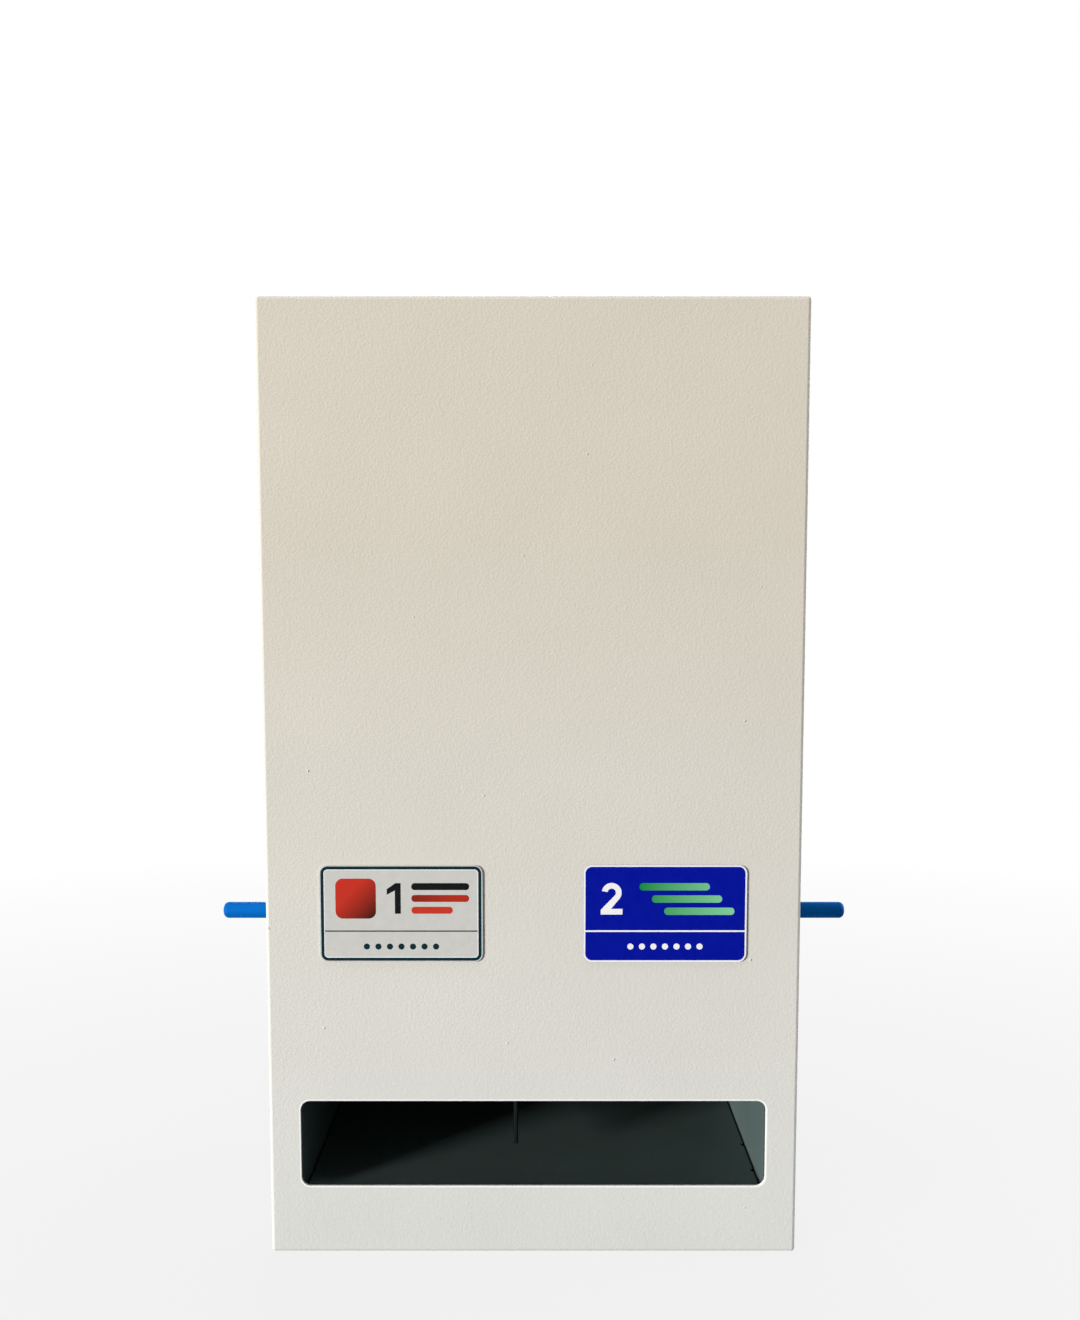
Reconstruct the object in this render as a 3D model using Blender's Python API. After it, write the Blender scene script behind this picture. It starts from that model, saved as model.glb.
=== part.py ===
"""Wall dispenser for sanitary napkins and tampons: a folded steel cabinet with a hinged
front, two side levers, two product columns and one delivery chute.

X is the width, seen from the front with +X to the right. Y runs from the front to the
back. Z is up, and the bottom of the cabinet stands at zero. All sizes are in metres."""

import bpy
import bmesh
import math
from mathutils import Matrix, Vector

for old_object in list(bpy.data.objects):
    bpy.data.objects.remove(old_object)

# Cabinet and door
BODY_WIDTH = 0.260
BODY_HEIGHT = 0.463
BODY_DEPTH = 0.140
SHEET = 0.0012
BEND_RADIUS = 0.0015
GAP = 0.0003
OVERRUN = 0.002
DOOR_DEPTH = 0.018
DOOR_SHORT = 0.0005
FLANGE = 0.010

# Delivery mouth in the door
MOUTH_MARGIN = 0.0155
MOUTH_SILL = 0.0344
MOUTH_HEIGHT = 0.0431
MOUTH_CORNER = 0.0045

# Label plates on the door
LABEL_WIDTH = 0.079
LABEL_HEIGHT = 0.0475
LABEL_THICKNESS = 0.0005
LABEL_CORNER = 0.004
LABEL_OFFSET = 0.064
LABEL_CENTRE_Z = 0.171

# Stiffening channels, keeper and bumpers inside the door
CHANNEL_SHEET = 0.001
CHANNEL_DEPTH = 0.008
CHANNEL_HEIGHT = 0.018
CHANNEL_FOOT = 0.008
CHANNEL_LENGTH = 0.210
UPPER_CHANNEL_Z = 0.330
LOWER_CHANNEL_ABOVE_MOUTH = 0.014
PAD_RADIUS = 0.004
PAD_INSET = 0.030

# Full-length hinge on the left side
LEAF = 0.0008
LEAF_WIDTH = 0.0098
HINGE_PIN_RADIUS = 0.001
KNUCKLE_RADIUS = 0.002
KNUCKLE_PITCH = 0.025
KNUCKLE_GAP = 0.0004
HINGE_END = 0.0065
PIN_HEAD_RADIUS = 0.0017
PIN_HEAD = 0.0008

# Holes in the back for hanging and fixing
KEYHOLE_RADIUS = 0.005
KEYHOLE_NECK = 0.00275
KEYHOLE_RISE = 0.011
HANG_SPREAD = 0.160
HANG_Z = 0.395
FIXING_RADIUS = 0.00275
FIXING_Z = 0.110

# Inner frame of side plates, divider, floor and guides
SIDE_SPACE = 0.016
FRAME_SHEET = 0.0012
FRAME_FLANGE = 0.010
HEADROOM = 0.018
FOOT_CLEAR = 0.0014
HORN_CLEAR = 0.0024
HORN_BOTTOM = 0.024
HORN_TOP = 0.086
HORN_CHAMFER = 0.006
SHAFT_WALL_TOP = 0.190
WALL_RISE = 0.016
NAPKIN_COLUMN_WIDTH = 0.1042
DIVIDER_FRONT_DEPTH = 0.025
DIVIDER_BOTTOM = 0.0455
HEM_THICKNESS = 0.0022
HEM_WIDTH = 0.005
HEM_ROUND_SHARE = 0.9
FLOOR_FRONT_Z = 0.031
FLOOR_SLOPE = math.radians(3.5)
FLOOR_LIP = 0.008
CHUTE_WALL_TOP = 0.092
NOTCH_WIDTH = 0.003
NOTCH_DEPTH = 0.002
NOTCH_FRONT_DEPTH = 0.023
NOTCH_REAR_DEPTH = 0.051
LUG_LENGTH = 0.007
LUG_REACH = 0.008
LIP_WIDTH = 0.012
LIP_SHEET = 0.001
LIP_ABOVE_ROTOR = 0.006
GUIDE_SHEET = 0.001
GUIDE_FLANGE = 0.008
TAMPON_DEPTH = 0.026
GUIDE_LOADING_CUT = 0.040
GUIDE_ABOVE_DRUM = 0.001

# Rotors and shafts
NAPKIN_ROTOR_RADIUS = 0.038
ROTOR_BACK_CLEAR = 0.0032
ROTOR_FRONT_CLEAR = 0.001
CRADLE_HEIGHT = 0.008
CRADLE_INSET = 0.0008
CHEEK_HEIGHT = 0.014
CRADLE_TAIL = math.radians(58)
ROTOR_HUB_RADIUS = 0.0065
ROTOR_HUB_LENGTH = 0.008
HUB_SCREW_TURN = math.radians(135)
DRUM_RADIUS = 0.022
POCKET_HALF_ANGLE = math.radians(50)
POCKET_BOTTOM_HALF = 0.004
POCKET_FLOOR = 0.0078
DRUM_WALL = 0.0026
DRUM_WEB_HALF_ANGLE = math.radians(7)
DRUM_CELL_START = math.radians(196)
SHAFT_RADIUS = 0.004
SHAFT_HEIGHT = 0.1339
END_PLAY = 0.0004
BUSH_RADIUS = 0.0065
BUSH_FLANGE_RADIUS = 0.0095
BUSH_FLANGE = 0.0015
BLOCK_REACH = 0.0024

# Levers
ROD_THROW = 0.0466
REST_ANGLE = math.radians(35)
LEVER_TRAVEL = math.radians(70)
ARM_THICKNESS = 0.0025
ARM_HUB_RADIUS = 0.008
ARM_ROD_END_RADIUS = 0.0058
ARM_TAIL_RADIUS = 0.004
TAIL_LENGTH = 0.018
COLLAR_LENGTH = 0.0056
COLLAR_RADIUS = 0.0072
ROD_RADIUS = 0.003
ROD_HEAD_RADIUS = 0.0045
ROD_HEAD = 0.0012
GRIP_RADIUS = 0.0043
GRIP_PROUD = 0.0365
GRIP_END_WALL = 0.0013
GRIP_END_ROUND = 0.0025
SLOT_CLEAR = 0.00085
CLIP_RADIUS = 0.0065
CLIP_THICKNESS = 0.0008
CLIP_GROOVE_DEPTH = 0.0008
CLIP_MOUTH = math.radians(70)
SHAFT_TIP = 0.001
SET_SCREW_RADIUS = 0.0015
SET_SCREW_PROUD = 0.0004
SOCKET_RADIUS = 0.0008
SOCKET_DEPTH = 0.0015
BUMPER_RADIUS = 0.004
BUMPER_ALONG_ARM = 0.030
BUMPER_PAST_ARM = 0.0006

# Return springs and their posts
HOOK_PIN_RADIUS = 0.0015
HOOK_HEAD_RADIUS = 0.0026
HOOK_HEAD = 0.001
POST_BASE_RADIUS = 0.0035
POST_BASE = 0.0012
WIRE_RADIUS = 0.00045
COIL_RADIUS = 0.0029
COIL_TURNS = 11
COIL_STEPS = 8
HOOK_STEPS = 8
HOOK_SWEEP = math.radians(290)
HOOK_NECK = 0.0045
SPRING_LENGTH = 0.045
SPRING_CLEAR = 0.00035

# Lock in the right side and its keeper on the door
LOCK_FRONT_CLEAR = 0.004
LOCK_HEIGHT = 0.240
LOCK_HEAD_RADIUS = 0.011
LOCK_HEAD = 0.0022
LOCK_HEAD_ROUND = 0.0008
LOCK_BARREL_RADIUS = 0.0094
LOCK_BARREL_LENGTH = 0.0155
LOCK_NUT_RADIUS = 0.0135
LOCK_NUT = 0.0032
PLUG_RADIUS = 0.0056
PLUG_INSET = 0.0004
PLUG_NECK_RADIUS = 0.0038
KEYWAY_WIDTH = 0.0016
KEYWAY_LENGTH = 0.0076
KEYWAY_DEPTH = 0.007
CAM_THICKNESS = 0.002
CAM_HUB_RADIUS = 0.007
CAM_TIP_RADIUS = 0.006
CAM_REACH = 0.022
CAM_SCREW_RADIUS = 0.0052
CAM_SCREW_HEAD = 0.0022
DRIVE_SLOT_WIDTH = 0.0012
DRIVE_SLOT_DEPTH = 0.0009
KEEPER_HEIGHT = 0.016
KEEPER_BELOW_LOCK = 0.012
KEEPER_PAST_CAM = 0.0014
KEEPER_BESIDE_CAM = 0.0028
KEEPER_FOOT = 0.014

# Steps on round forms
ROUND_STEPS = 20
SMALL_STEPS = 14
HINGE_STEPS = 12
CORNER_STEPS = 4
SHARP_ANGLE = math.radians(35)

# Places that follow from the sizes
HALF_WIDTH = BODY_WIDTH / 2
INNER_HALF = HALF_WIDTH - SHEET
LABEL_STAND = GAP + LABEL_THICKNESS
BACK_Y = (BODY_DEPTH + LABEL_STAND) / 2
FACE_Y = BACK_Y - BODY_DEPTH
INNER_BACK_Y = BACK_Y - SHEET
DOOR_REAR_Y = FACE_Y + DOOR_DEPTH
HINGE_SPACE = 2 * LEAF + 3 * GAP
CABINET_FRONT_Y = DOOR_REAR_Y + HINGE_SPACE
HINGE_X = -(HALF_WIDTH + GAP + KNUCKLE_RADIUS)
HINGE_Y = DOOR_REAR_Y + HINGE_SPACE / 2
FRAME_HALF = HALF_WIDTH - SIDE_SPACE
FRAME_OUTER = FRAME_HALF + FRAME_SHEET
FRAME_BACK_Y = INNER_BACK_Y - GAP
FRAME_TOP = BODY_HEIGHT - HEADROOM
FRAME_FLOOR_Z = SHEET + GAP
FOOT_FRONT_Y = CABINET_FRONT_Y + SHEET + FOOT_CLEAR
HORN_FRONT_Y = FACE_Y + SHEET + HORN_CLEAR
SHAFT_Y = INNER_BACK_Y - ROTOR_BACK_CLEAR - NAPKIN_ROTOR_RADIUS
COLUMN_FRONT_Y = SHAFT_Y - NAPKIN_ROTOR_RADIUS - ROTOR_FRONT_CLEAR
DIVIDER_LEFT = NAPKIN_COLUMN_WIDTH - FRAME_HALF
DIVIDER_RIGHT = DIVIDER_LEFT + FRAME_SHEET
DIVIDER_MIDDLE = (DIVIDER_LEFT + DIVIDER_RIGHT) / 2
DIVIDER_FRONT_Y = FACE_Y + DIVIDER_FRONT_DEPTH
DIVIDER_STEP_Y = FRAME_BACK_Y - FRAME_SHEET - GAP
DIVIDER_STEP_Z = CHUTE_WALL_TOP + GAP
LIP_FRONT_Y = COLUMN_FRONT_Y - LIP_SHEET
LIP_BOTTOM = SHAFT_HEIGHT + NAPKIN_ROTOR_RADIUS + LIP_ABOVE_ROTOR
GUIDE_HALF = TAMPON_DEPTH / 2
GUIDE_BOTTOM = SHAFT_HEIGHT + math.sqrt((DRUM_RADIUS + GUIDE_ABOVE_DRUM) ** 2 - GUIDE_HALF ** 2)
GUIDE_FRONT_Y = SHAFT_Y - GUIDE_HALF
GUIDE_REAR_Y = SHAFT_Y + GUIDE_HALF
RIGHT_WALL_Y = GUIDE_FRONT_Y - GUIDE_SHEET - GUIDE_FLANGE - GAP
BUSH_OUTER = FRAME_OUTER + GAP + BUSH_FLANGE
COLLAR_INNER = BUSH_OUTER + END_PLAY
ARM_INNER = COLLAR_INNER + COLLAR_LENGTH
ARM_OUTER = ARM_INNER + ARM_THICKNESS
COLLAR_MIDDLE = COLLAR_INNER + COLLAR_LENGTH / 2
HUB_SCREW_X = 2 * END_PLAY - FRAME_HALF + (FRAME_SHEET + ROTOR_HUB_LENGTH) / 2
DRUM_MIDDLE = (DIVIDER_RIGHT + BLOCK_REACH + FRAME_HALF - END_PLAY) / 2
GRIP_END = HALF_WIDTH + GRIP_PROUD
SPRING_X = FRAME_OUTER + SPRING_CLEAR + WIRE_RADIUS + COIL_RADIUS
PIN_TOP_Y = SHAFT_Y + TAIL_LENGTH * math.cos(REST_ANGLE)
PIN_TOP_Z = SHAFT_HEIGHT - TAIL_LENGTH * math.sin(REST_ANGLE)
POST_Z = PIN_TOP_Z - SPRING_LENGTH
ROD_Y = SHAFT_Y - ROD_THROW * math.cos(REST_ANGLE)
ROD_Z = SHAFT_HEIGHT + ROD_THROW * math.sin(REST_ANGLE)
LOCK_Y = CABINET_FRONT_Y + SHEET + LOCK_FRONT_CLEAR + LOCK_NUT_RADIUS
BARREL_END = HALF_WIDTH - LOCK_BARREL_LENGTH
CAM_OUTER = BARREL_END - GAP - END_PLAY
CAM_INNER = CAM_OUTER - CAM_THICKNESS
KEEPER_TAB_Y = LOCK_Y + CAM_HUB_RADIUS + GAP
MOUTH_HALF = HALF_WIDTH - MOUTH_MARGIN
MOUTH_TOP = MOUTH_SILL + MOUTH_HEIGHT


def look(name, finish):
    """A plain surface for one piece: its colour, how rough it is and how much of a metal."""
    colour, roughness, metallic = finish
    made = bpy.data.materials.new(name)
    made.use_nodes = True
    shader = made.node_tree.nodes["Principled BSDF"]
    shader.inputs["Base Color"].default_value = (*colour, 1)
    shader.inputs["Roughness"].default_value = roughness
    shader.inputs["Metallic"].default_value = metallic
    return made


ALMOND = ((0.66, 0.62, 0.56), 0.42, 0.0)
DARK_PAINT = ((0.035, 0.045, 0.045), 0.5, 0.0)
ZINC = ((0.55, 0.56, 0.57), 0.4, 0.8)
STEEL = ((0.62, 0.61, 0.60), 0.3, 1.0)
BLUE = ((0.01, 0.16, 0.60), 0.35, 0.0)
NYLON = ((0.80, 0.79, 0.74), 0.5, 0.0)
RUBBER = ((0.03, 0.03, 0.03), 0.8, 0.0)
DRUM_GREY = ((0.32, 0.34, 0.35), 0.45, 0.0)
LABEL_WHITE = ((0.74, 0.74, 0.72), 0.35, 0.0)
LABEL_BLUE = ((0.01, 0.03, 0.30), 0.35, 0.0)


def piece(name, shape, finish, rounded=False):
    """Turns a bmesh into a named object with its own material."""
    bmesh.ops.recalc_face_normals(shape, faces=shape.faces)
    mesh = bpy.data.meshes.new(name)
    shape.to_mesh(mesh)
    shape.free()
    if rounded:
        mesh.shade_smooth()
        mesh.set_sharp_from_angle(angle=SHARP_ANGLE)
    made = bpy.data.objects.new(name, mesh)
    bpy.context.scene.collection.objects.link(made)
    made.data.materials.append(look(name, finish))
    return made


def helper(shape, name="helper"):
    """A solid that only cuts or fills another one."""
    bmesh.ops.recalc_face_normals(shape, faces=shape.faces)
    mesh = bpy.data.meshes.new(name)
    shape.to_mesh(mesh)
    shape.free()
    made = bpy.data.objects.new(name, mesh)
    bpy.context.scene.collection.objects.link(made)
    made.hide_render = True
    made.display_type = "WIRE"
    return made


def apply_to(target, shape, operation):
    """Adds a Boolean with its own helper, which then travels with the target."""
    tool = helper(shape, target.name + "_" + operation.lower())
    tool.parent = target
    step = target.modifiers.new(operation.title(), "BOOLEAN")
    step.operation = operation
    step.solver = "EXACT"
    step.object = tool
    return target


def cut(target, shape):
    return apply_to(target, shape, "DIFFERENCE")


def fuse(target, shape):
    return apply_to(target, shape, "UNION")


def to_world(axis, station, u, v):
    """A point of an outline drawn square to one of the three axes."""
    if axis == "X":
        return (station, u, v)
    if axis == "Y":
        return (u, station, v)
    return (u, v, station)


def prism(outline, axis, start, end):
    """An outline pushed along an axis."""
    shape = bmesh.new()
    near = [shape.verts.new(to_world(axis, start, u, v)) for u, v in outline]
    far = [shape.verts.new(to_world(axis, end, u, v)) for u, v in outline]
    shape.faces.new(near)
    shape.faces.new(far)
    for i in range(len(outline)):
        j = (i + 1) % len(outline)
        shape.faces.new((near[i], near[j], far[j], far[i]))
    return shape


def block(x, y, z):
    """A box from three pairs of limits."""
    outline = [(x[0], y[0]), (x[1], y[0]), (x[1], y[1]), (x[0], y[1])]
    return prism(outline, "Z", z[0], z[1])


def turned(profile, axis, centre, steps=ROUND_STEPS, ring=False):
    """A profile of (station, radius) points turned about an axis through centre.
    A point on the axis closes the ring next to it with one flat face."""
    shape = bmesh.new()
    rows = []
    for station, radius in profile:
        if radius == 0:
            rows.append(None)
            continue
        row = []
        for k in range(steps):
            angle = 2 * math.pi * k / steps
            u = centre[0] + radius * math.cos(angle)
            v = centre[1] + radius * math.sin(angle)
            row.append(shape.verts.new(to_world(axis, station, u, v)))
        rows.append(row)
    pairs = list(zip(rows, rows[1:]))
    if ring:
        pairs.append((rows[-1], rows[0]))
    for first, second in pairs:
        if first is None or second is None:
            shape.faces.new(first or second)
            continue
        for k in range(steps):
            n = (k + 1) % steps
            shape.faces.new((first[k], first[n], second[n], second[k]))
    return shape


def rod(axis, centre, radius, start, end, steps=ROUND_STEPS):
    """A plain round bar."""
    profile = [(start, 0), (start, radius), (end, radius), (end, 0)]
    return turned(profile, axis, centre, steps)


def arc(centre, radius, start, end, steps):
    """Points along part of a circle."""
    points = []
    for k in range(steps + 1):
        angle = start + (end - start) * k / steps
        points.append((centre[0] + radius * math.cos(angle), centre[1] + radius * math.sin(angle)))
    return points


def rounded_rectangle(left, right, low, high, radius):
    """A rectangle with round corners."""
    corners = (
        ((right - radius, low + radius), -math.pi / 2),
        ((right - radius, high - radius), 0),
        ((left + radius, high - radius), math.pi / 2),
        ((left + radius, low + radius), math.pi),
    )
    outline = []
    for centre, start in corners:
        outline += arc(centre, radius, start, start + math.pi / 2, CORNER_STEPS)
    return outline


def link(first, first_radius, second, second_radius, steps=SMALL_STEPS):
    """Two round ends joined by their outer tangents."""
    run = Vector(second) - Vector(first)
    heading = math.atan2(run.y, run.x)
    lean = math.acos((first_radius - second_radius) / run.length)
    outline = arc(first, first_radius, heading + lean, heading + 2 * math.pi - lean, steps)
    outline += arc(second, second_radius, heading - lean, heading + lean, steps // 2)
    return outline


def crank(hub, hub_radius, arms, steps=SMALL_STEPS):
    """A round hub with two arms, each a (centre, end radius), joined by outer tangents."""
    leans = []
    for end, end_radius in arms:
        run = Vector(end) - Vector(hub)
        heading = math.atan2(run.y, run.x) % (2 * math.pi)
        leans.append((heading, math.acos((hub_radius - end_radius) / run.length)))
    outline = []
    for i, (end, end_radius) in enumerate(arms):
        heading, lean = leans[i]
        outline += arc(end, end_radius, heading - lean, heading + lean, steps // 2)
        after, after_lean = leans[(i + 1) % len(arms)]
        start = heading + lean
        stop = after - after_lean
        while stop < start:
            stop += 2 * math.pi
        outline += arc(hub, hub_radius, start, stop, CORNER_STEPS)
    return outline


def arc_slot(centre, radius, half_width, start, end, steps):
    """A slot that follows part of a circle and has round ends."""
    first = (centre[0] + radius * math.cos(start), centre[1] + radius * math.sin(start))
    last = (centre[0] + radius * math.cos(end), centre[1] + radius * math.sin(end))
    outline = arc(centre, radius + half_width, start, end, steps)
    outline += arc(last, half_width, end, end + math.pi, CORNER_STEPS * 2)[1:-1]
    outline += arc(centre, radius - half_width, end, start, steps)
    outline += arc(first, half_width, start + math.pi, start + 2 * math.pi, CORNER_STEPS * 2)[1:-1]
    return outline


def keyhole(centre, radius, neck, rise):
    """A round hole with a narrower slot above it."""
    side = math.acos(neck / radius)
    outline = arc(centre, radius, math.pi - side, 2 * math.pi + side, SMALL_STEPS)
    outline += arc((centre[0], centre[1] + rise), neck, 0, math.pi, CORNER_STEPS * 2)
    return outline


def folded(path, thickness):
    """The outline of a bent sheet: a line of corners and its copy one thickness to the left."""
    points = [Vector(p) for p in path]
    normals = []
    for a, b in zip(points, points[1:]):
        run = (b - a).normalized()
        normals.append(Vector((-run.y, run.x)))
    shifted = [points[0] + normals[0] * thickness]
    for i in range(1, len(points) - 1):
        middle = (normals[i - 1] + normals[i]).normalized()
        shifted.append(points[i] + middle * (thickness / middle.dot(normals[i])))
    shifted.append(points[-1] + normals[-1] * thickness)
    return [tuple(p) for p in points] + [tuple(p) for p in reversed(shifted)]


def pair(low, high, side):
    """Two stations across the machine, swapped over for the left side."""
    return (side * low, side * high)


def joint_frame(name, place):
    """An empty that stands on the axis of a joint."""
    made = bpy.data.objects.new(name, None)
    bpy.context.scene.collection.objects.link(made)
    made.location = place
    return made


def carry(carrier, pieces):
    """Hangs pieces on a joint's empty and leaves them where they are."""
    for item in pieces:
        item.parent = carrier
        item.matrix_parent_inverse = Matrix.Translation(-carrier.location)


def floor_top(y):
    """Height of the chute floor at a place between front and back."""
    return FLOOR_FRONT_Z + (y - FACE_Y) * math.tan(FLOOR_SLOPE)


def folded_tray(name, y, z, open_y):
    """A box bent from one sheet, open on one side but for a flange all round."""
    shape = block((-HALF_WIDTH, HALF_WIDTH), y, z)
    tray = piece(name, shape, ALMOND)
    bends = tray.modifiers.new("Bends", "BEVEL")
    bends.width = BEND_RADIUS
    bends.segments = 2
    bends.limit_method = "ANGLE"
    inside_z = (z[0] + SHEET, z[1] - SHEET)
    cut(tray, block((-INNER_HALF, INNER_HALF), (y[0] + SHEET, y[1] - SHEET), inside_z))
    lip = INNER_HALF - FLANGE
    reach = SHEET + OVERRUN
    mouth_z = (inside_z[0] + FLANGE, inside_z[1] - FLANGE)
    cut(tray, block((-lip, lip), (open_y - reach, open_y + reach), mouth_z))
    return tray


def make_cabinet():
    """Five-sided shell with the lever slots, the lock hole and the holes for the wall."""
    shell = folded_tray("cabinet_shell", (CABINET_FRONT_Y, BACK_Y), (0, BODY_HEIGHT), CABINET_FRONT_Y)
    start = math.pi - REST_ANGLE
    slot = arc_slot(
        (SHAFT_Y, SHAFT_HEIGHT), ROD_THROW, GRIP_RADIUS + SLOT_CLEAR,
        start, start + LEVER_TRAVEL, SMALL_STEPS,
    )
    for side in (-1, 1):
        wall = pair(INNER_HALF - OVERRUN, HALF_WIDTH + OVERRUN, side)
        cut(shell, prism(slot, "X", *wall))
    wall = (INNER_HALF - OVERRUN, HALF_WIDTH + OVERRUN)
    cut(shell, rod("X", (LOCK_Y, LOCK_HEIGHT), LOCK_BARREL_RADIUS + GAP, *wall))
    back = (INNER_BACK_Y - OVERRUN, BACK_Y + OVERRUN)
    for side in (-1, 1):
        x = side * HANG_SPREAD / 2
        hole = keyhole((x, HANG_Z), KEYHOLE_RADIUS, KEYHOLE_NECK, KEYHOLE_RISE)
        cut(shell, prism(hole, "Y", *back))
        cut(shell, rod("Y", (x, FIXING_Z), FIXING_RADIUS, *back, SMALL_STEPS))
    return shell


def make_door():
    """Pan-shaped front with the wide delivery mouth."""
    ends = (DOOR_SHORT, BODY_HEIGHT - DOOR_SHORT)
    panel = folded_tray("door_panel", (FACE_Y, DOOR_REAR_Y), ends, DOOR_REAR_Y)
    mouth = rounded_rectangle(-MOUTH_HALF, MOUTH_HALF, MOUTH_SILL, MOUTH_TOP, MOUTH_CORNER)
    cut(panel, prism(mouth, "Y", FACE_Y - OVERRUN, FACE_Y + SHEET + OVERRUN))
    return panel


def make_label(name, side, finish):
    """A thin plate with round corners on the door's face."""
    x = side * LABEL_OFFSET
    outline = rounded_rectangle(
        x - LABEL_WIDTH / 2, x + LABEL_WIDTH / 2,
        LABEL_CENTRE_Z - LABEL_HEIGHT / 2, LABEL_CENTRE_Z + LABEL_HEIGHT / 2, LABEL_CORNER,
    )
    return piece(name, prism(outline, "Y", FACE_Y - LABEL_STAND, FACE_Y - GAP), finish)


def make_channel(name, low):
    """A hat-shaped stiffener across the inside of the door."""
    front = FACE_Y + SHEET + GAP
    crown = front + CHANNEL_DEPTH
    high = low + CHANNEL_HEIGHT
    path = [
        (front, low - CHANNEL_FOOT), (front, low), (crown, low),
        (crown, high), (front, high), (front, high + CHANNEL_FOOT),
    ]
    outline = folded(list(reversed(path)), CHANNEL_SHEET)
    half = CHANNEL_LENGTH / 2
    return piece(name, prism(outline, "X", -half, half), ZINC)


def hinge_spans():
    """The knuckles of the hinge from bottom to top, each with its two ends."""
    low = DOOR_SHORT + HINGE_END
    high = BODY_HEIGHT - DOOR_SHORT - HINGE_END
    count = round((high - low) / KNUCKLE_PITCH)
    pitch = (high - low) / count
    spans = []
    for k in range(count):
        bottom = low + pitch * k + KNUCKLE_GAP / 2
        spans.append((bottom, bottom + pitch - KNUCKLE_GAP))
    return spans


def make_hinge_leaf(name, first, near_y, far_y):
    """A toothed strip whose teeth roll into every other knuckle."""
    spans = hinge_spans()
    own = spans[first::2]
    bottom = spans[0][0]
    top = spans[-1][1]
    edge = HINGE_X + KNUCKLE_RADIUS + KNUCKLE_GAP
    inner = edge + LEAF_WIDTH
    reach = HINGE_X + HINGE_PIN_RADIUS
    outline = [(inner, top), (inner, bottom)]
    for low, high in own:
        teeth = [(edge, low), (reach, low), (reach, high), (edge, high)]
        if low == bottom:
            teeth = teeth[1:]
        if high == top:
            teeth = teeth[:-1]
        outline += teeth
    if own[0][0] != bottom:
        outline.insert(2, (edge, bottom))
    if own[-1][1] != top:
        outline.append((edge, top))
    leaf = piece(name, prism(outline, "Y", near_y, far_y), STEEL, rounded=True)
    rolls = bmesh.new()
    for low, high in own:
        roll = rod("Z", (HINGE_X, HINGE_Y), KNUCKLE_RADIUS, low, high, HINGE_STEPS)
        mesh = bpy.data.meshes.new("roll")
        roll.to_mesh(mesh)
        roll.free()
        rolls.from_mesh(mesh)
        bpy.data.meshes.remove(mesh)
    fuse(leaf, rolls)
    bore = HINGE_PIN_RADIUS + GAP
    ends = (bottom - OVERRUN, top + OVERRUN)
    cut(leaf, rod("Z", (HINGE_X, HINGE_Y), bore, *ends, HINGE_STEPS))
    return leaf


def make_hinge_pin():
    """The pin through all knuckles, headed over at both ends."""
    spans = hinge_spans()
    low = spans[0][0] - GAP
    high = spans[-1][1] + GAP
    profile = [
        (low - PIN_HEAD, 0), (low - PIN_HEAD, PIN_HEAD_RADIUS), (low, PIN_HEAD_RADIUS),
        (low, HINGE_PIN_RADIUS), (high, HINGE_PIN_RADIUS), (high, PIN_HEAD_RADIUS),
        (high + PIN_HEAD, PIN_HEAD_RADIUS), (high + PIN_HEAD, 0),
    ]
    shape = turned(profile, "Z", (HINGE_X, HINGE_Y), HINGE_STEPS)
    return piece("hinge_pin", shape, STEEL, rounded=True)


def make_side_plate(name, side, upper_front_y):
    """Upright plate with a horn beside the mouth, a rear flange and lugs for the floor."""
    outline = [
        (FOOT_FRONT_Y, FRAME_FLOOR_Z), (FRAME_BACK_Y, FRAME_FLOOR_Z),
        (FRAME_BACK_Y, FRAME_TOP), (upper_front_y, FRAME_TOP),
        (upper_front_y, SHAFT_WALL_TOP + WALL_RISE), (FOOT_FRONT_Y, SHAFT_WALL_TOP),
        (FOOT_FRONT_Y, HORN_TOP), (HORN_FRONT_Y + HORN_CHAMFER, HORN_TOP),
        (HORN_FRONT_Y, HORN_TOP - HORN_CHAMFER), (HORN_FRONT_Y, HORN_BOTTOM),
        (FOOT_FRONT_Y, HORN_BOTTOM),
    ]
    walls = pair(FRAME_HALF, FRAME_OUTER, side)
    plate = piece(name, prism(outline, "X", *walls), DARK_PAINT)
    flange = sorted(pair(FRAME_HALF, FRAME_OUTER + FRAME_FLANGE, side))
    rear = (FRAME_BACK_Y - FRAME_SHEET, FRAME_BACK_Y)
    fuse(plate, block(flange, rear, (FRAME_FLOOR_Z, FRAME_TOP)))
    foot = (FOOT_FRONT_Y, FRAME_BACK_Y)
    fuse(plate, block(flange, foot, (FRAME_FLOOR_Z, FRAME_FLOOR_Z + FRAME_SHEET)))
    for depth in (NOTCH_FRONT_DEPTH, NOTCH_REAR_DEPTH):
        y = FACE_Y + depth
        lug_y = (y - LUG_LENGTH / 2, y + LUG_LENGTH / 2)
        top = floor_top(lug_y[0]) - FRAME_SHEET / math.cos(FLOOR_SLOPE) - GAP
        lug_x = sorted(pair(FRAME_HALF - LUG_REACH, FRAME_OUTER, side))
        fuse(plate, block(lug_x, lug_y, (top - FRAME_SHEET, top)))
    ends = pair(FRAME_HALF - OVERRUN, FRAME_OUTER + OVERRUN, side)
    cut(plate, rod("X", (SHAFT_Y, SHAFT_HEIGHT), BUSH_RADIUS + GAP, *ends))
    return plate


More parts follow.
